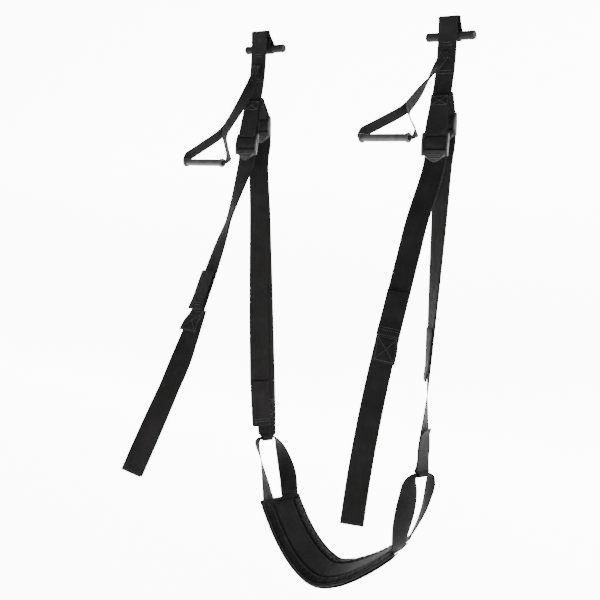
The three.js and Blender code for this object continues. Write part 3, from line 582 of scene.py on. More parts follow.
def buckle_outline():
    half, top = BUCKLE_W / 2, TOP_BAR_V
    right = [(half - 0.5 * MM, top), (half, top - 20 * MM), (half - 1 * MM, top - 43 * MM),
             (half - 4 * MM, top - 50 * MM), (6 * MM, top - BUCKLE_H + 2 * MM), (0, top - BUCKLE_H)]
    left = [(-x, z) for x, z in right[:-1]][::-1]
    return rounded(right + left, 5 * MM)


def bowed_rail(x):
    """A side rail that stands out furthest half-way down, D-shaped from the side."""
    top, low = TOP_BAR_V - 0.6 * MM, TOP_BAR_V - 52 * MM
    bow = [(-PLATE_T / 2 - 5.2 * MM * math.sin(math.pi * s), lerp(top, low, s))
           for s in np.linspace(0, 1, 13)]
    outline = [(PLATE_T / 2, low), (PLATE_T / 2, top), *bow][::-1]
    mesh = curve_plate([outline], 4.4 * MM, BUCKLE_BEVEL)
    mesh.transform(Matrix.Translation((x, 0, 0)) @ Matrix.Rotation(math.pi / 2, 4, "Z"))
    return mesh


def lever_lip():
    """The pointed lip under the window, raised a little to the front."""
    tip = TOP_BAR_V - BUCKLE_H
    lip = rounded([(-25 * MM, LIP_TOP), (-24 * MM, LIP_TOP - 7 * MM), (-6 * MM, tip + 2 * MM), (0, tip),
                   (6 * MM, tip + 2 * MM), (24 * MM, LIP_TOP - 7 * MM), (25 * MM, LIP_TOP)], 4 * MM)
    mesh = curve_plate([lip[::-1]], PLATE_T + 1.8 * MM, BUCKLE_BEVEL)
    turn = Matrix.Rotation(math.radians(-LIP_RAISED), 4, "X")
    raised = Matrix.Translation((0, -1.6 * MM, LIP_TOP)) @ turn
    mesh.transform(raised @ Matrix.Translation((0, 0, -LIP_TOP)))
    return mesh


def buckle_rods():
    """The top bar, the middle bar, and the lip's three grip ribs."""
    half = SLOT_W / 2
    bars = [(0, 0, TOP_BAR_R, half), (0, MID_BAR_Z, MID_BAR_R, half)]
    for k in range(3):
        bars.append((-6.2 * MM - 0.7 * MM * k, LIP_TOP - (7 + 4.4 * k) * MM, 1.1 * MM, (15 - 3 * k) * MM))
    rods = Builder(BUCKLE)
    for y, z, radius, reach in bars:
        rods.turned(rectangle(AXIS_R, radius, -reach, reach, 0.6 * MM), (0, y, z), segments=24)
    return rods.build("moulding")


def merged(meshes):
    """Several meshes as one, with their places kept."""
    points, faces = [], []
    for mesh in meshes:
        base = len(points)
        points += [v.co[:] for v in mesh.vertices]
        faces += [[base + i for i in p.vertices] for p in mesh.polygons]
    whole = bpy.data.meshes.new("moulding")
    whole.from_pydata(points, [], faces)
    return whole


def buckle_mesh():
    """Frame with rails, two bars, and a lever lip with grip ribs, blended as one moulding."""
    half = SLOT_W / 2
    window = rectangle(-half, half, MID_BAR_Z - MID_BAR_R - 9 * MM, -TOP_BAR_R, 2 * MM)
    parts = [curve_plate([buckle_outline(), window], PLATE_T, BUCKLE_BEVEL)]
    parts += [bowed_rail(sign * (half + 2.7 * MM)) for sign in (-1, 1)]
    parts.append(lever_lip())
    piece = buckle_rods()
    piece.data = merged([*parts, piece.data])
    remesh = piece.modifiers.new("remesh", "REMESH")
    remesh.mode, remesh.voxel_size, remesh.use_smooth_shade = "VOXEL", 0.55 * MM, True
    smooth = piece.modifiers.new("smooth", "SMOOTH")
    smooth.factor, smooth.iterations = 0.5, 3
    applied(piece)
    result = piece.data
    bpy.data.objects.remove(piece)
    result.materials.clear()
    result.materials.append(BUCKLE)
    return result


def buckle_place(bar, yaw, tilt):
    turn = Matrix.Rotation(math.radians(yaw), 4, "Z") @ Matrix.Rotation(math.radians(-tilt), 4, "X")
    return Matrix.Translation(bar) @ turn


def rear_bar(side):
    low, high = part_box(f"{side['name']}_rear_buckle")
    return Vector(((low.x + high.x) / 2, high.y - PLATE_T / 2, high.z - TOP_BAR_V))


def add_buckle(mesh, name, where, body, node):
    copy = mesh.copy()
    copy.transform(where)
    place(linked(name, copy), body, "buckle_plastic", node)


def buckle_tab(side, x, which, bar, yaw, starts):
    """Webbing folded over a buckle's top bar, with both ends sewn to the drop."""
    name = side["name"]
    across = facing(yaw)
    front = facing(yaw - 90)
    radius = TOP_BAR_V * math.sqrt(2) + 0.6 * MM + WEB_T / 2
    ends = in_plane(x, starts)
    centre = np.array(bar)
    lean = [math.degrees(math.atan2(way @ front, way[2])) for way in ends - centre]
    angles = np.radians(np.linspace(-lean[0], -180 - lean[1], 19))
    points = catmull([ends[0], *arc(centre, front * radius, UP * radius, angles), ends[1]], 4)
    share = smoothstep(np.abs(points[:, 2] - centre[2]), 12 * MM, 60 * MM)[:, None]
    frames = Frames(points, unit(lerp(across, RIGHT, share)))
    cloth = Builder(WEBBING, THREAD)
    cloth.band(frames, WEB - 0.4 * MM, WEB_T - 0.1 * MM)
    cloth.boxed(frames, SEW_IN, 24 * MM, SEWN_HALF, WEB_T / 2 + 0.05 * MM)
    place(cloth.build(f"{name}_{which}_tab_webbing"), "front_drops", "webbing", f"{name}_{which}_tab")


# ---- pull handle ----
def handle(side, x):
    """Two layers sewn as a stem, then opened into a triangle and gathered into the grip's ends."""
    name = side["name"]
    held = np.array(JOINT_AT[f"{name}_grip_turn"])
    start, middle, junction = in_plane(x, side["stem"])
    steps = np.linspace(0, 1, 34)[:, None]
    stem = (1 - steps) ** 2 * start + 2 * steps * (1 - steps) * middle + steps ** 2 * junction
    reach = unit(held - junction)
    edge = np.array([0, reach[2], -reach[1]]) * side["handle_twist"]
    turn = (math.pi / 2) * smoothstep(steps, 0.12, 0.95)
    stem_frames = Frames(stem, RIGHT * np.cos(turn) + edge * np.sin(turn))
    outward = np.sign(stem_frames.up[-1][0])
    mouth = GRIP_LENGTH / 2
    cloth = Builder(WEBBING, THREAD)
    for hand in (-1, 1):
        away = RIGHT * hand
        layer = stem_frames.moved(out=hand * outward * 1.05 * MM)
        corner = held + away * (mouth + 5 * MM)
        leg = catmull([
            layer.point[-1],
            junction + away * 8 * MM + reach * 17 * MM,
            lerp(junction, corner, 0.6) + away * 8 * MM,
            corner - reach * 17 * MM + away * 3 * MM,
            corner - reach * 2 * MM + away * 2.4 * MM,
            held + away * (mouth - 2 * MM),
            held + away * (mouth - 14 * MM)], 7)
        path = Frames(np.concatenate([layer.point, leg[1:]]),
                      np.concatenate([layer.side, np.tile(edge, (len(leg) - 1, 1))]))
        near = np.linalg.norm(path.point - (held + away * mouth), axis=1)
        gather = 1 - smoothstep(near, 7 * MM, 24 * MM)
        gather[:len(layer.point)] = 0
        gather = np.maximum.accumulate(gather)
        cloth.band(path, lerp(NARROW, 9.6 * MM, gather), lerp(WEB_T, 3.4 * MM, gather), cup=0.2 * MM)
    last = stem_frames.length[-1]
    for out in (2.2 * MM, -2.2 * MM):
        cloth.boxed(stem_frames, SEW_IN, 26 * MM, 9 * MM, out)
        cloth.rows(stem_frames, 9 * MM, (last - 12 * MM, last - 7 * MM), out)
    place(cloth.build(f"{name}_handle_webbing"), f"{name}_handle", "webbing", f"{name}_handle_strap")


def grip(side):
    """A slightly barrelled tube with a collar at each end."""
    name = side["name"]
    centre = JOINT_AT[f"{name}_grip_turn"]
    half = GRIP_LENGTH / 2
    tube = Builder(GRIP)
    barrel = [(GRIP_R - 0.25 * MM + 0.25 * MM * math.cos(a), lerp(-half, half, s))
              for s, a in ((k / 24, math.pi * (k / 24 - 0.5)) for k in range(25))]
    tube.turned([(GRIP_BORE, half), (GRIP_BORE, -half), *barrel], centre)
    place(tube.build(f"{name}_grip_barrel"), f"{name}_grip", "grip_plastic", f"{name}_grip_tube")
    inner = GRIP_R + 0.3 * MM
    for hand, word in ((-1, "left"), (1, "right")):
        seat = hand * (half - COLLAR_LENGTH / 2)
        low, high = seat - COLLAR_LENGTH / 2, seat + COLLAR_LENGTH / 2
        collar = Builder(GRIP)
        collar.turned(rectangle(inner, COLLAR_R, low, high, 1.5 * MM), centre)
        place(collar.build(f"{name}_grip_ring_{word}"), f"{name}_grip", "grip_plastic",
              f"{name}_grip_collar_{word}")


# ---- straps that leave a buckle ----
TAIL_W = SLOT_W - 2 * MM
LEG_GIVE = 134 * MM            # how far above its foot the span given to bend starts on a leg strap


def buckle_rows(where, yaw):
    """The strap's first two rows, behind the buckle's plate."""
    back = PLATE_T / 2 + TAIL_OUT + LAYER / 2 + 0.1 * MM
    return [(*where @ Vector((0, back, -down)), yaw) for down in (20 * MM, BUCKLE_H - 2 * MM)]


def leg_x(sign, z):
    return sign * (SPACING / 2 + LEG_SPLAY * (-z - 325 * MM))


def leg_y(side, z):
    below = max(LEG_FOOT - z, 0)
    bend_rate = (side["foot_slope"] - side["leg_slope"]) / (2 * (LEG_FOOT - LOOP_FOOT))
    return side["leg_foot_y"] * MM + side["leg_slope"] * (z - LEG_FOOT) - bend_rate * below ** 2


def leg_turn(side, z):
    upper, patch, foot = side["leg_facing"]
    if z >= LEG_FOOT:
        return lerp(upper, patch, 1 - (1 - (LEG_TOP - z) / (LEG_TOP - LEG_FOOT)) ** 3)
    return lerp(patch, foot, 1 - (1 - (LEG_FOOT - z) / (LEG_FOOT - LOOP_FOOT)) ** 3)


def leg_rows(side, heights):
    return [(leg_x(side["sign"], z), leg_y(side, z), z, leg_turn(side, z)) for z in heights]


def buckle_turn(frames, where, first, tail):
    """The strap's way up behind the middle bar, forward through the window, and down into its tail."""
    radius = MID_BAR_R + 0.7 * MM + WEB_T / 2
    angles = np.radians(np.linspace(10, 180, 11))
    crest = TOP_BAR_V - TURN_TOP_V - radius
    over = [where @ Vector((0, radius * math.cos(a), crest + radius * math.sin(a))) for a in angles]
    up_in = where @ Vector((0, 5.4 * MM, MID_BAR_Z + 2.2 * MM))
    down_out = where @ Vector((0, -radius, MID_BAR_Z - 1 * MM))
    across = np.array(where.to_3x3() @ Vector((1, 0, 0)))
    points = catmull([frames.point[first], up_in, *over, down_out, tail.point[0]], 4)
    return Frames(points, across).part(0, -1)


def below_bar(where, drop):
    """The height that is `drop` below a buckle's middle bar."""
    return (where @ Vector((0, 0, MID_BAR_Z - drop))).z


def strap_with_tail(side, which, rows, where, body, tail_bottom, shift=0.0):
    """A strap's stations, and its tail as a piece of its own that stays with the buckle."""
    name = side["name"]
    frames = strap_frames(rows)
    height = frames.point[:, 2]
    first = int(np.argmax(height < below_bar(where, 4 * MM)))
    below = np.flatnonzero((height < below_bar(where, 12 * MM)) & (height > tail_bottom))
    slide = shift * smoothstep(np.linspace(0, 1, len(below)), 0.1, 1)
    tail = frames.moved(below, out=TAIL_OUT - 0.5 * MM, shift=slide)
    cloth = Builder(WEBBING)
    turn = buckle_turn(frames, where, first, tail)
    widths = np.repeat([SLOT_W - 0.5 * MM, TAIL_W], [len(turn.point), len(tail.point)])
    cloth.band(joined(turn, tail), widths, WEB_T - 0.3 * MM)
    place(cloth.build(f"{name}_{which}_tail_webbing"), body, "webbing", f"{name}_{which}_tail",
          f"{name}_{which}_turn")
    return frames.part(first)


def tail_end(side, which, frames, low, high, body, shift=0.0, out=TAIL_OUT + 2.4 * MM):
    """The sliding end of a tail, with its cut edge folded and sewn."""
    name = side["name"]
    height = frames.point[:, 2]
    end = frames.moved(np.flatnonzero((height < high) & (height > low)), out=out, shift=shift)
    last = end.length[-1]
    cloth = Builder(WEBBING, THREAD)
    lift = 3.2 * MM * smoothstep(end.length, last - 40 * MM, last)
    flap = end.moved(out=lift)
    cup = 0.5 * MM
    cloth.band(flap, WEB - 0.6 * MM, WEB_T - 0.2 * MM, cup)
    hem = flap.moved(np.flatnonzero(flap.length > last - 22 * MM), out=-WEB_T + 0.1 * MM)
    cloth.band(hem, WEB - 1 * MM, WEB_T - 0.4 * MM, cup)
    cloth.rows(flap, SEWN_HALF, (last - 18 * MM, last - 12 * MM), WEB_T / 2 + 0.45 * MM)
    place(cloth.build(f"{name}_{which}_tail_flap"), body, "webbing", f"{name}_{which}_tail_end")


def leg(side, where):
    """The leg strap down to its patch, its tail, and the foot loop."""
    name = side["name"]
    heights = np.linspace(LEG_TOP, LEG_FOOT, 5)
    rows = [*buckle_rows(where, side["front_yaw"]), *leg_rows(side, heights)]
    bottom = LEG_FOOT + LEG_TAIL_END - TAIL_COVER
    frames = strap_with_tail(side, "leg", rows, where, f"{name}_leg", bottom)
    loop = strap_frames(leg_rows(side, np.linspace(LEG_FOOT, LOOP_FOOT, 5)))
    patch_end = int(np.argmax(loop.length > PATCH_LENGTH))
    patch = loop.part(1, patch_end)
    patch = patch.moved(shift=side["patch_shift"] * MM * smoothstep(patch.length, 0, 30 * MM))
    whole = joined(frames, patch)
    cloth = Builder(WEBBING, THREAD)
    cloth.band(whole, WEB)
    length = whole.length[-1]
    cloth.boxed(whole, length - 56 * MM, length - SEW_IN, SEWN_HALF, FACE)
    foot = frames.point[-1]
    bend(cloth.build(f"{name}_leg_webbing"), (f"{name}_leg", f"{name}_loop"),
         (foot[0], foot[1] + LEG_GIVE * side["leg_slope"], LEG_FOOT + LEG_GIVE), tuple(foot),
         "webbing", f"{name}_leg_strap", f"{name}_loop_patch")
    down = unit((side["sign"] * LEG_SPLAY, -side["leg_slope"], -1))
    past = 4 * MM
    steps = np.linspace(past - LEG_TAIL_END, past, 34)[:, None]
    straight = Frames(foot + down * steps, facing(leg_turn(side, LEG_FOOT + LEG_TAIL_END / 2)))
    tail_end(side, "leg", straight, -math.inf, math.inf, f"{name}_leg_pull", out=TAIL_OUT + 2.9 * LAYER)
    stirrup(side, loop)


def stirrup(side, loop):
    """The foot loop: two layers sewn at the top, open below, turned at the foot."""
    name = side["name"]
    share = loop.length / loop.length[-1]
    behind = -LAYER - 0.2 * MM
    gape = LAYER + side["opening"] * MM * np.sin(math.pi * np.maximum(share - 0.2, 0) / 1.1)
    front, back = loop.moved(out=behind), loop.moved(out=behind - gape)
    out = front.point[-1] - back.point[-1]
    radius = np.linalg.norm(out) / 2
    out = unit(out)
    down = unit(np.cross(out, front.side[-1]))
    middle = (front.point[-1] + back.point[-1]) / 2
    foot = arc(middle, out * radius, down * radius, np.linspace(0, math.pi, 15)[1:-1])
    points = np.concatenate([front.point, foot, back.point[::-1]])
    sides = np.concatenate([front.side, np.tile(front.side[-1], (len(foot), 1)), back.side[::-1]])
    frames = Frames(points, sides)
    cloth = Builder(WEBBING, THREAD)
    cloth.band(frames, WEB, cup=0.25 * MM)
    back_only = Frames(back.point, back.side)
    cloth.boxed(back_only, 6 * MM, 56 * MM, SEWN_HALF, -FACE)
    place(cloth.build(f"{name}_stirrup_webbing"), f"{name}_loop", "webbing", f"{name}_stirrup_loop")


# ---- seat straps ----
SEAT_GIVE_Z = -600 * MM        # the height where the span given to bend starts on a seat strap


def seat_turn(side, z):
    top, middle, eye = side["seat_facing"]
    if z >= SEAT_TURN:
        return lerp(top, middle, (SEAT_TOP - z) / (SEAT_TOP - SEAT_TURN))
    return lerp(middle, eye, ((SEAT_TURN - z) / (SEAT_TURN - EYE_Z)) ** side["seat_settle"])


def seat_point(side, z):
    share = (SEAT_TOP - z) / (SEAT_TOP - EYE_Z)
    x = side["sign"] * (SPACING / 2 - SEAT_LEAN * (-z - 276 * MM))
    return np.array([x, lerp(*side["seat_y"], share) * MM, z])


def seat_rows(side, heights):
    return [(*seat_point(side, z), seat_turn(side, z)) for z in heights]


def seat_strap(side, where):
    """The seat strap from the rear buckle to its eye, and its tail."""
    name = side["name"]
    heights = [*np.linspace(SEAT_TOP, SEAT_TURN, 5), *np.linspace(SEAT_TURN, SEAT_FOOT, 3)[1:]]
    rows = [*buckle_rows(where, 0), *seat_rows(side, heights)]
    tail_foot, shift = side["seat_tail_end"] * MM, side["seat_tail_shift"] * MM
    tail_top = tail_foot + SEAT_TAIL_END
    frames = strap_with_tail(side, "seat", rows, where, "seat_hanger", tail_top - TAIL_COVER, shift)
    beside = frames
    if tail_foot < SEAT_FOOT:
        beside = strap_frames(seat_rows(side, np.linspace(SEAT_FOOT + 130 * MM, SEAT_FOOT - 34 * MM, 5)))
        tail_foot = max(tail_foot, beside.point[-1][2])
    tail_end(side, "seat", beside, tail_foot, tail_top, f"{name}_seat_pull", shift)
    strap_and_eye(side, frames)


def strap_and_eye(side, frames):
    """The seat strap down to its eye, round the end loop, and back up behind itself, sewn.

    The last centimetres of the end that comes back stand off, loose.
    """
    name = side["name"]
    eye_turn = side["seat_facing"][2]
    centre = seat_point(side, EYE_Z)
    out = unit(np.cross(-UP, facing(eye_turn)))
    angles = np.radians(np.linspace(50, -230, 25))
    ring = arc(centre, out * EYE_R, UP * EYE_R, angles)
    neck = lerp(frames.point[-1], centre, 0.5)
    covered = np.flatnonzero(frames.point[:, 2] < SEAT_FOOT + EYE_SEWN)
    top = frames.length[covered[0]]
    loose = smoothstep(frames.length[covered], top + 16 * MM, top)
    back = frames.moved(covered, out=-LAYER - 5 * MM * loose)
    points = catmull([frames.point[-3], frames.point[-1], neck, *ring, neck - out * LAYER, back.point[-1],
                      back.point[-3]], 4)[5:-5]
    share = np.linspace(0, 1, len(points))
    inward = np.minimum(share, 1 - share)
    hold = smoothstep(inward, 0, 0.17)[:, None]
    middle = Frames(points, unit(lerp(frames.side[-1], facing(eye_turn), hold)))
    upper = back.moved(slice(None, None, -1))
    upper.up = -upper.up
    whole = joined(frames, middle, upper)
    wide = np.full(len(whole.point), WEB)
    first = len(frames.point)
    wide[first:first + len(points)] = lerp(WEB - 1 * MM, EYE_NECK, smoothstep(inward, 0, 0.2))
    cloth = Builder(WEBBING, THREAD)
    cloth.band(whole, wide)
    end = frames.length[-1]
    cloth.boxed(frames, end - 42 * MM, end - SEW_IN, SEWN_HALF, FACE)
    cloth.rows(whole, 15 * MM, (end - 1 * MM, end + 4 * MM), FACE)
    foot = frames.point[-1]
    bend(cloth.build(f"{name}_seat_webbing"), ("seat_hanger", "seat"),
         (foot[0], foot[1], SEAT_GIVE_Z), tuple(foot),
         "webbing", f"{name}_seat_strap", f"{name}_seat_eye")


# ---- seat pad ----
PAD_ENDS = [np.array((-197, -22, -1212)) * MM, np.array((202, -50, -1244)) * MM]
PAD_LOW = np.array((8, -76, -1349)) * MM
PAD_SAG, PAD_DRIFT, PAD_TWIST, PAD_LIFT = (2, 1.5), 1.3, (0.32, -0.27), 0.3
PAD_STEPS = 120
PANEL = 31 * MM                # from the pad's middle to the seams beside its centre panel
RUNNER = PAD_WIDTH / 2 - 27 * MM    # from the pad's middle to each webbing under it
SWELL = 2.6 * MM               # the most that the simulated cushion may swell
CREASE_AT = 0.53               # where along the pad the fold lies


def pad_point(x):
    """The pad's middle line, rising from its lowest point to each end."""
    half = 0 if x < PAD_LOW[0] else 1
    end = PAD_ENDS[half]
    run = (x - PAD_LOW[0]) / (end[0] - PAD_LOW[0])
    y = lerp(PAD_LOW[1], end[1], run ** PAD_DRIFT)
    return np.array([x, y, lerp(PAD_LOW[2], end[2], run ** PAD_SAG[half])])


def pad_frames():
    curve = catmull([pad_point(x) for x in np.linspace(PAD_ENDS[0][0], PAD_ENDS[1][0], 9)], 40)
    length = run_length(curve)
    share = np.linspace(0, 1, PAD_STEPS + 1)
    points = np.stack([np.interp(share * length[-1], length, curve[:, k]) for k in range(3)], axis=1)
    lift = PAD_LIFT * np.sin(math.pi * share)
    return Frames(points, np.stack([lerp(*PAD_TWIST, share), np.full_like(share, 0.95), lift], axis=1))


PAD = pad_frames()


def pad_coordinates(points):
    """Where points lie on the pad: station, along, across and above."""
    nearest = np.array([np.argmin(np.linalg.norm(PAD.point - p, axis=1)) for p in points])
    offset = points - PAD.point[nearest]
    along = np.cross(PAD.side[nearest], PAD.up[nearest])
    return (nearest, PAD.length[nearest] + np.sum(offset * along, axis=1),
            np.sum(offset * PAD.side[nearest], axis=1), np.sum(offset * PAD.up[nearest], axis=1))


def inflate(piece):
    """Cloth under a little air pressure, held to a few millimetres of swell."""
    remesh = piece.modifiers.new("remesh", "REMESH")
    remesh.mode, remesh.voxel_size = "VOXEL", 5 * MM
    applied(piece)
    rest = np.array([v.co for v in piece.data.vertices])
    cloth = piece.modifiers.new("cloth", "CLOTH")
    cloth.settings.use_pressure, cloth.settings.uniform_pressure_force = True, 4
    cloth.settings.effector_weights.gravity = 0
    cloth.settings.quality = 5
    scene = bpy.context.scene
    for step in range(1, 21):
        scene.frame_set(step)
    graph = bpy.context.evaluated_depsgraph_get()
    swollen = np.array([v.co for v in piece.evaluated_get(graph).to_mesh().vertices])
    piece.modifiers.clear()
    scene.frame_set(1)
    move = swollen - rest
    size = np.linalg.norm(move, axis=1, keepdims=True)
    held = move * np.minimum(1, SWELL / np.maximum(size, 1e-9))
    piece.data.vertices.foreach_set("co", (rest + held).ravel())


def sew(piece):
    """Seams beside the centre panel, puckers along the borders, and a soft fold near the lowest place."""
    points = np.array([v.co for v in piece.data.vertices])
    nearest, along, across, above = pad_coordinates(points)
    groove = np.exp(-((np.abs(across) - PANEL) / (2.4 * MM)) ** 2)
    border = smoothstep(np.abs(across), PANEL + 1 * MM, PANEL + 8 * MM)
    slant = along + 0.5 * np.abs(across)
    ripple = np.sin(slant / (2.6 * MM) + 1.7 * np.sin(along / (31 * MM)))
    ripple *= 0.7 + 0.3 * np.sin(along / (17 * MM))
    from_fold = along - PAD.length[-1] * CREASE_AT
    near_fold = np.exp(-(from_fold / (13 * MM)) ** 2)
    crease = near_fold * np.cos((from_fold + across * 0.35) / (3.6 * MM)) * 1.5 * MM
    change = -np.sign(above) * groove * np.minimum(np.abs(above) * 0.75, 3.6 * MM)
    change += np.sign(above) * border * (0.8 * MM + ripple * np.where(across > 0, 1.5, 0.6) * MM)
    change += crease * (1 - groove)
    moved = points + PAD.up[nearest] * change[:, None]
    piece.data.vertices.foreach_set("co", moved.ravel())
    layer = piece.data.uv_layers.new(name="UVMap")
    corner = np.array([loop.vertex_index for loop in piece.data.loops])
    layer.data.foreach_set("uv", np.stack([across[corner], along[corner]], axis=1).ravel())


def cushion():
    """The pad's cover, flat-crowned, before it is inflated and sewn."""
    body = Builder(COVER)
    width = PAD_WIDTH - 7 * MM
    crown = np.linspace(-1, 1, 25)
    top = np.stack([crown, 0.55 + 0.45 * np.sqrt(np.maximum(1 - crown ** 4, 0))], axis=1)[::-1]
    outline = np.concatenate([top, top[::-1] * [1, -1]])
    rings = PAD.part(1, -1).rings(outline[None, :, 0] * width / 2,
                                  outline[None, :, 1] * (PAD_T / 2 - 1.4 * MM))
    body.skin(rings, np.zeros((*rings.shape[:2], 2)))
    return body.build("seat_pad")


def pad():
    piece = cushion()
    inflate(piece)
    divide = piece.modifiers.new("divide", "SUBSURF")
    divide.levels = divide.render_levels = 1
    applied(piece)
    sew(piece)
    piece.data.polygons.foreach_set("use_smooth", [True] * len(piece.data.polygons))
    if not piece.data.materials:
        piece.data.materials.append(COVER)
    place(piece, "seat", "cover_cloth", "seat_foam", "seat_cover_top", "seat_cover_bottom")
    seams = Builder(THREAD)
    for shift in (-PANEL, PANEL):
        seams.stitches(PAD.moved(shift=shift), [(0, 6 * MM), (0, PAD.length[-1] - 6 * MM)],
                       PAD_T / 2 - 1.9 * MM, slot=0)
    place(seams.build("seat_seam_stitches"), "seat", "webbing")


def binding(which, hand):
    """Binding tape folded over the pad's edge, gathered a little, and a hem across one end of the pad."""
    ripple = 0.7 * MM * np.sin(PAD.length / (6.5 * MM) + hand)
    ripple *= 0.5 + 0.5 * np.sin(PAD.length / (23 * MM))
    frames = PAD.moved(shift=hand * (PAD_WIDTH / 2 - 3.2 * MM), out=ripple)
    cloth = Builder(BINDING, THREAD)
    cloth.band(frames, 6.5 * MM, PAD_T * 0.52)
    inward = -hand * 1.6 * MM
    for out in (PAD_T * 0.26 + 0.2 * MM, -PAD_T * 0.26 - 0.2 * MM):
        cloth.stitches(frames, [(inward, SEW_IN), (inward, PAD.length[-1] - SEW_IN)], out)
    end, way = (0, 1) if hand < 0 else (-1, -1)
    along = np.cross(PAD.side[end], PAD.up[end])
    reach = np.linspace(-1, 1, 15)[:, None] * (PAD_WIDTH / 2 - 1 * MM)
    hem = Frames(PAD.point[end] + along * way * 1 * MM + PAD.side[end] * reach, along)
    cloth.band(hem, 12 * MM, PAD_T * 0.66)
    place(cloth.build(f"seat_edge_{which}"), "seat", "webbing", f"seat_binding_{which}")


def under_webbing(which, hand):
    frames = PAD.moved(out=-PAD_T / 2 - 2.9 * MM, shift=hand * RUNNER).part(2, -2)
    cloth = Builder(WEBBING, THREAD)
    cloth.band(frames, WEB - 4 * MM)
    end = frames.length[-1]
    for start, stop in ((5 * MM, 34 * MM), (end - 34 * MM, end - 5 * MM)):
        cloth.boxed(frames, start, stop, WEB / 2 - 6 * MM, -FACE)
    place(cloth.build(f"seat_under_webbing_{which}"), "seat", "webbing", f"seat_webbing_{which}")


def end_loop(side):
    """Up from the pad's front corner, gathered through the eye, and down to its back corner."""
    name = side["name"]
    end = 0 if side["sign"] < 0 else -1
    away = unit((side["sign"], 0, 0.9))
    eye_turn = side["seat_facing"][2]
    run = facing(eye_turn) * np.sign(eye_turn)
    crown = seat_point(side, EYE_Z)

    def row(hand, share):
        """A row of the front (-1) or back (1) leg of the loop, from the eye down to the pad."""
        shoulder = crown + run * hand * 27 * MM - UP * 9 * MM
        foot = PAD.point[end] + PAD.side[end] * hand * RUNNER + away * 3 * MM
        p = lerp(shoulder, foot, share)
        if hand > 0:
            p = p + np.array([*side["loop_bow"], 0]) * MM * math.sin(math.pi * share)
        return (*p, eye_turn + 90 + share * side["loop_twist"][0 if hand < 0 else 1])

    def sewn_in(hand):
        """A leg's last row, lying flat inside the pad."""
        inner = 3 if end == 0 else -4
        p = PAD.point[inner] + PAD.side[inner] * hand * RUNNER
        flat = math.degrees(math.atan2(PAD.side[end][1], PAD.side[end][0]))
        before = row(hand, 1)[3]
        return (*p, flat + 180 * round((before - flat) / 180))

    shares = [0, 1 / 3, 2 / 3, 1]
    in_eye = [(*(crown + run * hand * 15 * MM - UP * MM), eye_turn + 90) for hand in (-1, 1)]
    front = [sewn_in(-1), *[row(-1, share) for share in shares[::-1]]]
    back = [*[row(1, share) for share in shares], sewn_in(1)]
    frames = strap_frames([*front, *in_eye, *back], 12)
    full = smoothstep(np.linalg.norm(frames.point - crown, axis=1), 12 * MM, 46 * MM)
    cloth = Builder(WEBBING, THREAD)
    cloth.band(frames, lerp(LOOP_NECK, WEB - 4 * MM, full), lerp(LOOP_NECK_T, WEB_T, full), cup=0.8 * MM)
    total = frames.length[-1]
    for start in (18 * MM, total - 28 * MM):
        places = (start, start + 5 * MM, start + 10 * MM)
        cloth.rows(frames, 18 * MM, places, WEB_T / 2 + 0.5 * MM)
        cloth.rows(frames, 18 * MM, places, -WEB_T / 2 + 0.1 * MM)
    place(cloth.build(f"{name}_end_webbing"), "seat", "webbing", f"{name}_end_loop")


# ---- the whole sling ----
def sling():
    moulding = buckle_mesh()
    for side in SIDES:
        name, x = side["name"], side["sign"] * SPACING / 2
        front_drop(side, x)
        back_strap(side, x)
        anchor_bar(side)
        front_bar, back_bar = JOINT_AT[f"{name}_leg_swing"], rear_bar(side)
        front_place = buckle_place(front_bar, side["front_yaw"], FRONT_TILT)
        rear_place = buckle_place(back_bar, 0, 0)
        buckle_tab(side, x, "front", front_bar, side["front_yaw"], [(-28.6, -174), (-24.4, -186)])
        buckle_tab(side, x, "rear", back_bar, 0, [(-17.6, -168), (-14.4, -168.6)])
        add_buckle(moulding, f"{name}_front_ladder_lock", front_place, f"{name}_leg",
                   f"{name}_front_buckle")
        add_buckle(moulding, f"{name}_rear_ladder_lock", rear_place, "seat_hanger",
                   f"{name}_rear_buckle")
        handle(side, x)
        grip(side)
        leg(side, front_place)
        seat_strap(side, rear_place)
        end_loop(side)
    pad()
    for which, hand in (("front", -1), ("back", 1)):
        binding(which, hand)
        under_webbing(which, hand)


# ---- studio ----
FLOOR_Z, FLOOR_HALF, FLOOR_FRONT, FLOOR_BACK = -1.95, 9, -6, 3      # metres
CURVE_R, BACKDROP_HEIGHT = 1.5, 7
LIGHTS = [("key", (1.6, -2.6, 1.6), 2.2, 90), ("fill", (-3.0, -1.6, 0.4), 2.6, 40),
          ("rim", (0.4, 2.4, 1.2), 2.0, 40)]    # name, place, size in metres, power in watts
CAMERA_AT, CAMERA_PITCH, CAMERA_YAW, CAMERA_LENS = (1.655, -2.266, -0.287), 82.25, 38.5, 68.34


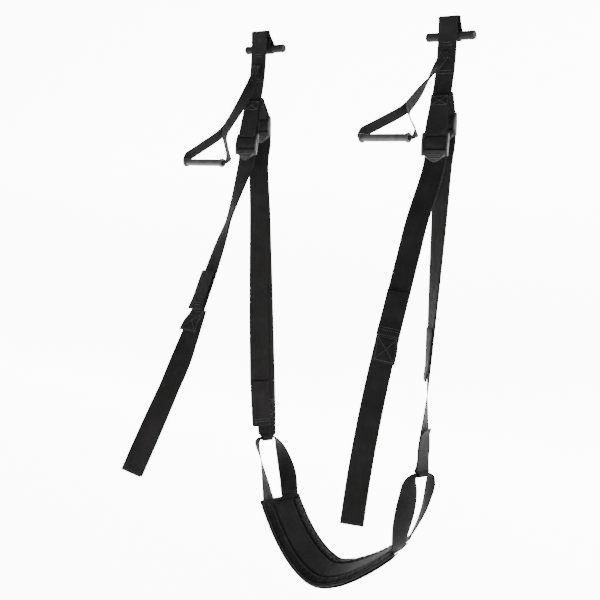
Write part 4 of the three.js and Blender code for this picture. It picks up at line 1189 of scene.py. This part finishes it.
def floor():
    """A pale floor that curves up into a backdrop."""
    arc = [(FLOOR_BACK + CURVE_R * math.sin(a), CURVE_R - CURVE_R * math.cos(a))
           for a in np.linspace(0.1, math.pi / 2, 16)]
    depth = [(FLOOR_FRONT, 0), (FLOOR_BACK, 0), *arc, (FLOOR_BACK + CURVE_R, BACKDROP_HEIGHT)]
    mesh = bpy.data.meshes.new("studio_floor")
    mesh.from_pydata([(x, y, FLOOR_Z + z) for y, z in depth for x in (-FLOOR_HALF, FLOOR_HALF)], [],
                     [[2 * i, 2 * i + 1, 2 * i + 3, 2 * i + 2] for i in range(len(depth) - 1)])
    paper = Nodes("studio_paper")
    tone = paper.blend(paper.noise(2.0), (0.86, 0.86, 0.86), (0.9, 0.9, 0.9))
    paper.finish(tone, paper.noise(300), 0.05 * MM, 0.9)
    paper.shader.inputs["Emission Color"].default_value = (1, 1, 1, 1)
    paper.shader.inputs["Emission Strength"].default_value = 8.0
    mesh.materials.append(paper.material)
    mesh.polygons.foreach_set("use_smooth", [True] * len(mesh.polygons))
    linked("studio_floor", mesh)


def lights():
    """A bright even sky and three soft panels aimed at the sling's middle."""
    world = bpy.data.worlds.new("studio_world")
    world.use_nodes = True
    world.node_tree.nodes["Background"].inputs["Color"].default_value = (1, 1, 1, 1)
    world.node_tree.nodes["Background"].inputs["Strength"].default_value = 0.9
    bpy.context.scene.world = world
    target = Vector((0, 0, -0.7))
    for name, at, size, power in LIGHTS:
        data = bpy.data.lights.new(name, "AREA")
        data.size, data.energy = size, power
        lamp = linked(name, data)
        lamp.location = at
        lamp.rotation_euler = (target - Vector(at)).to_track_quat("-Z", "Y").to_euler()


def camera():
    """The photograph's viewing angle."""
    data = bpy.data.cameras.new("camera")
    data.lens, data.sensor_width, data.clip_end = CAMERA_LENS, 36, 50
    view = linked("camera", data)
    view.location = CAMERA_AT
    view.rotation_euler = (math.radians(CAMERA_PITCH), 0, math.radians(CAMERA_YAW))
    bpy.context.scene.camera = view


floor()
lights()
camera()
sling()
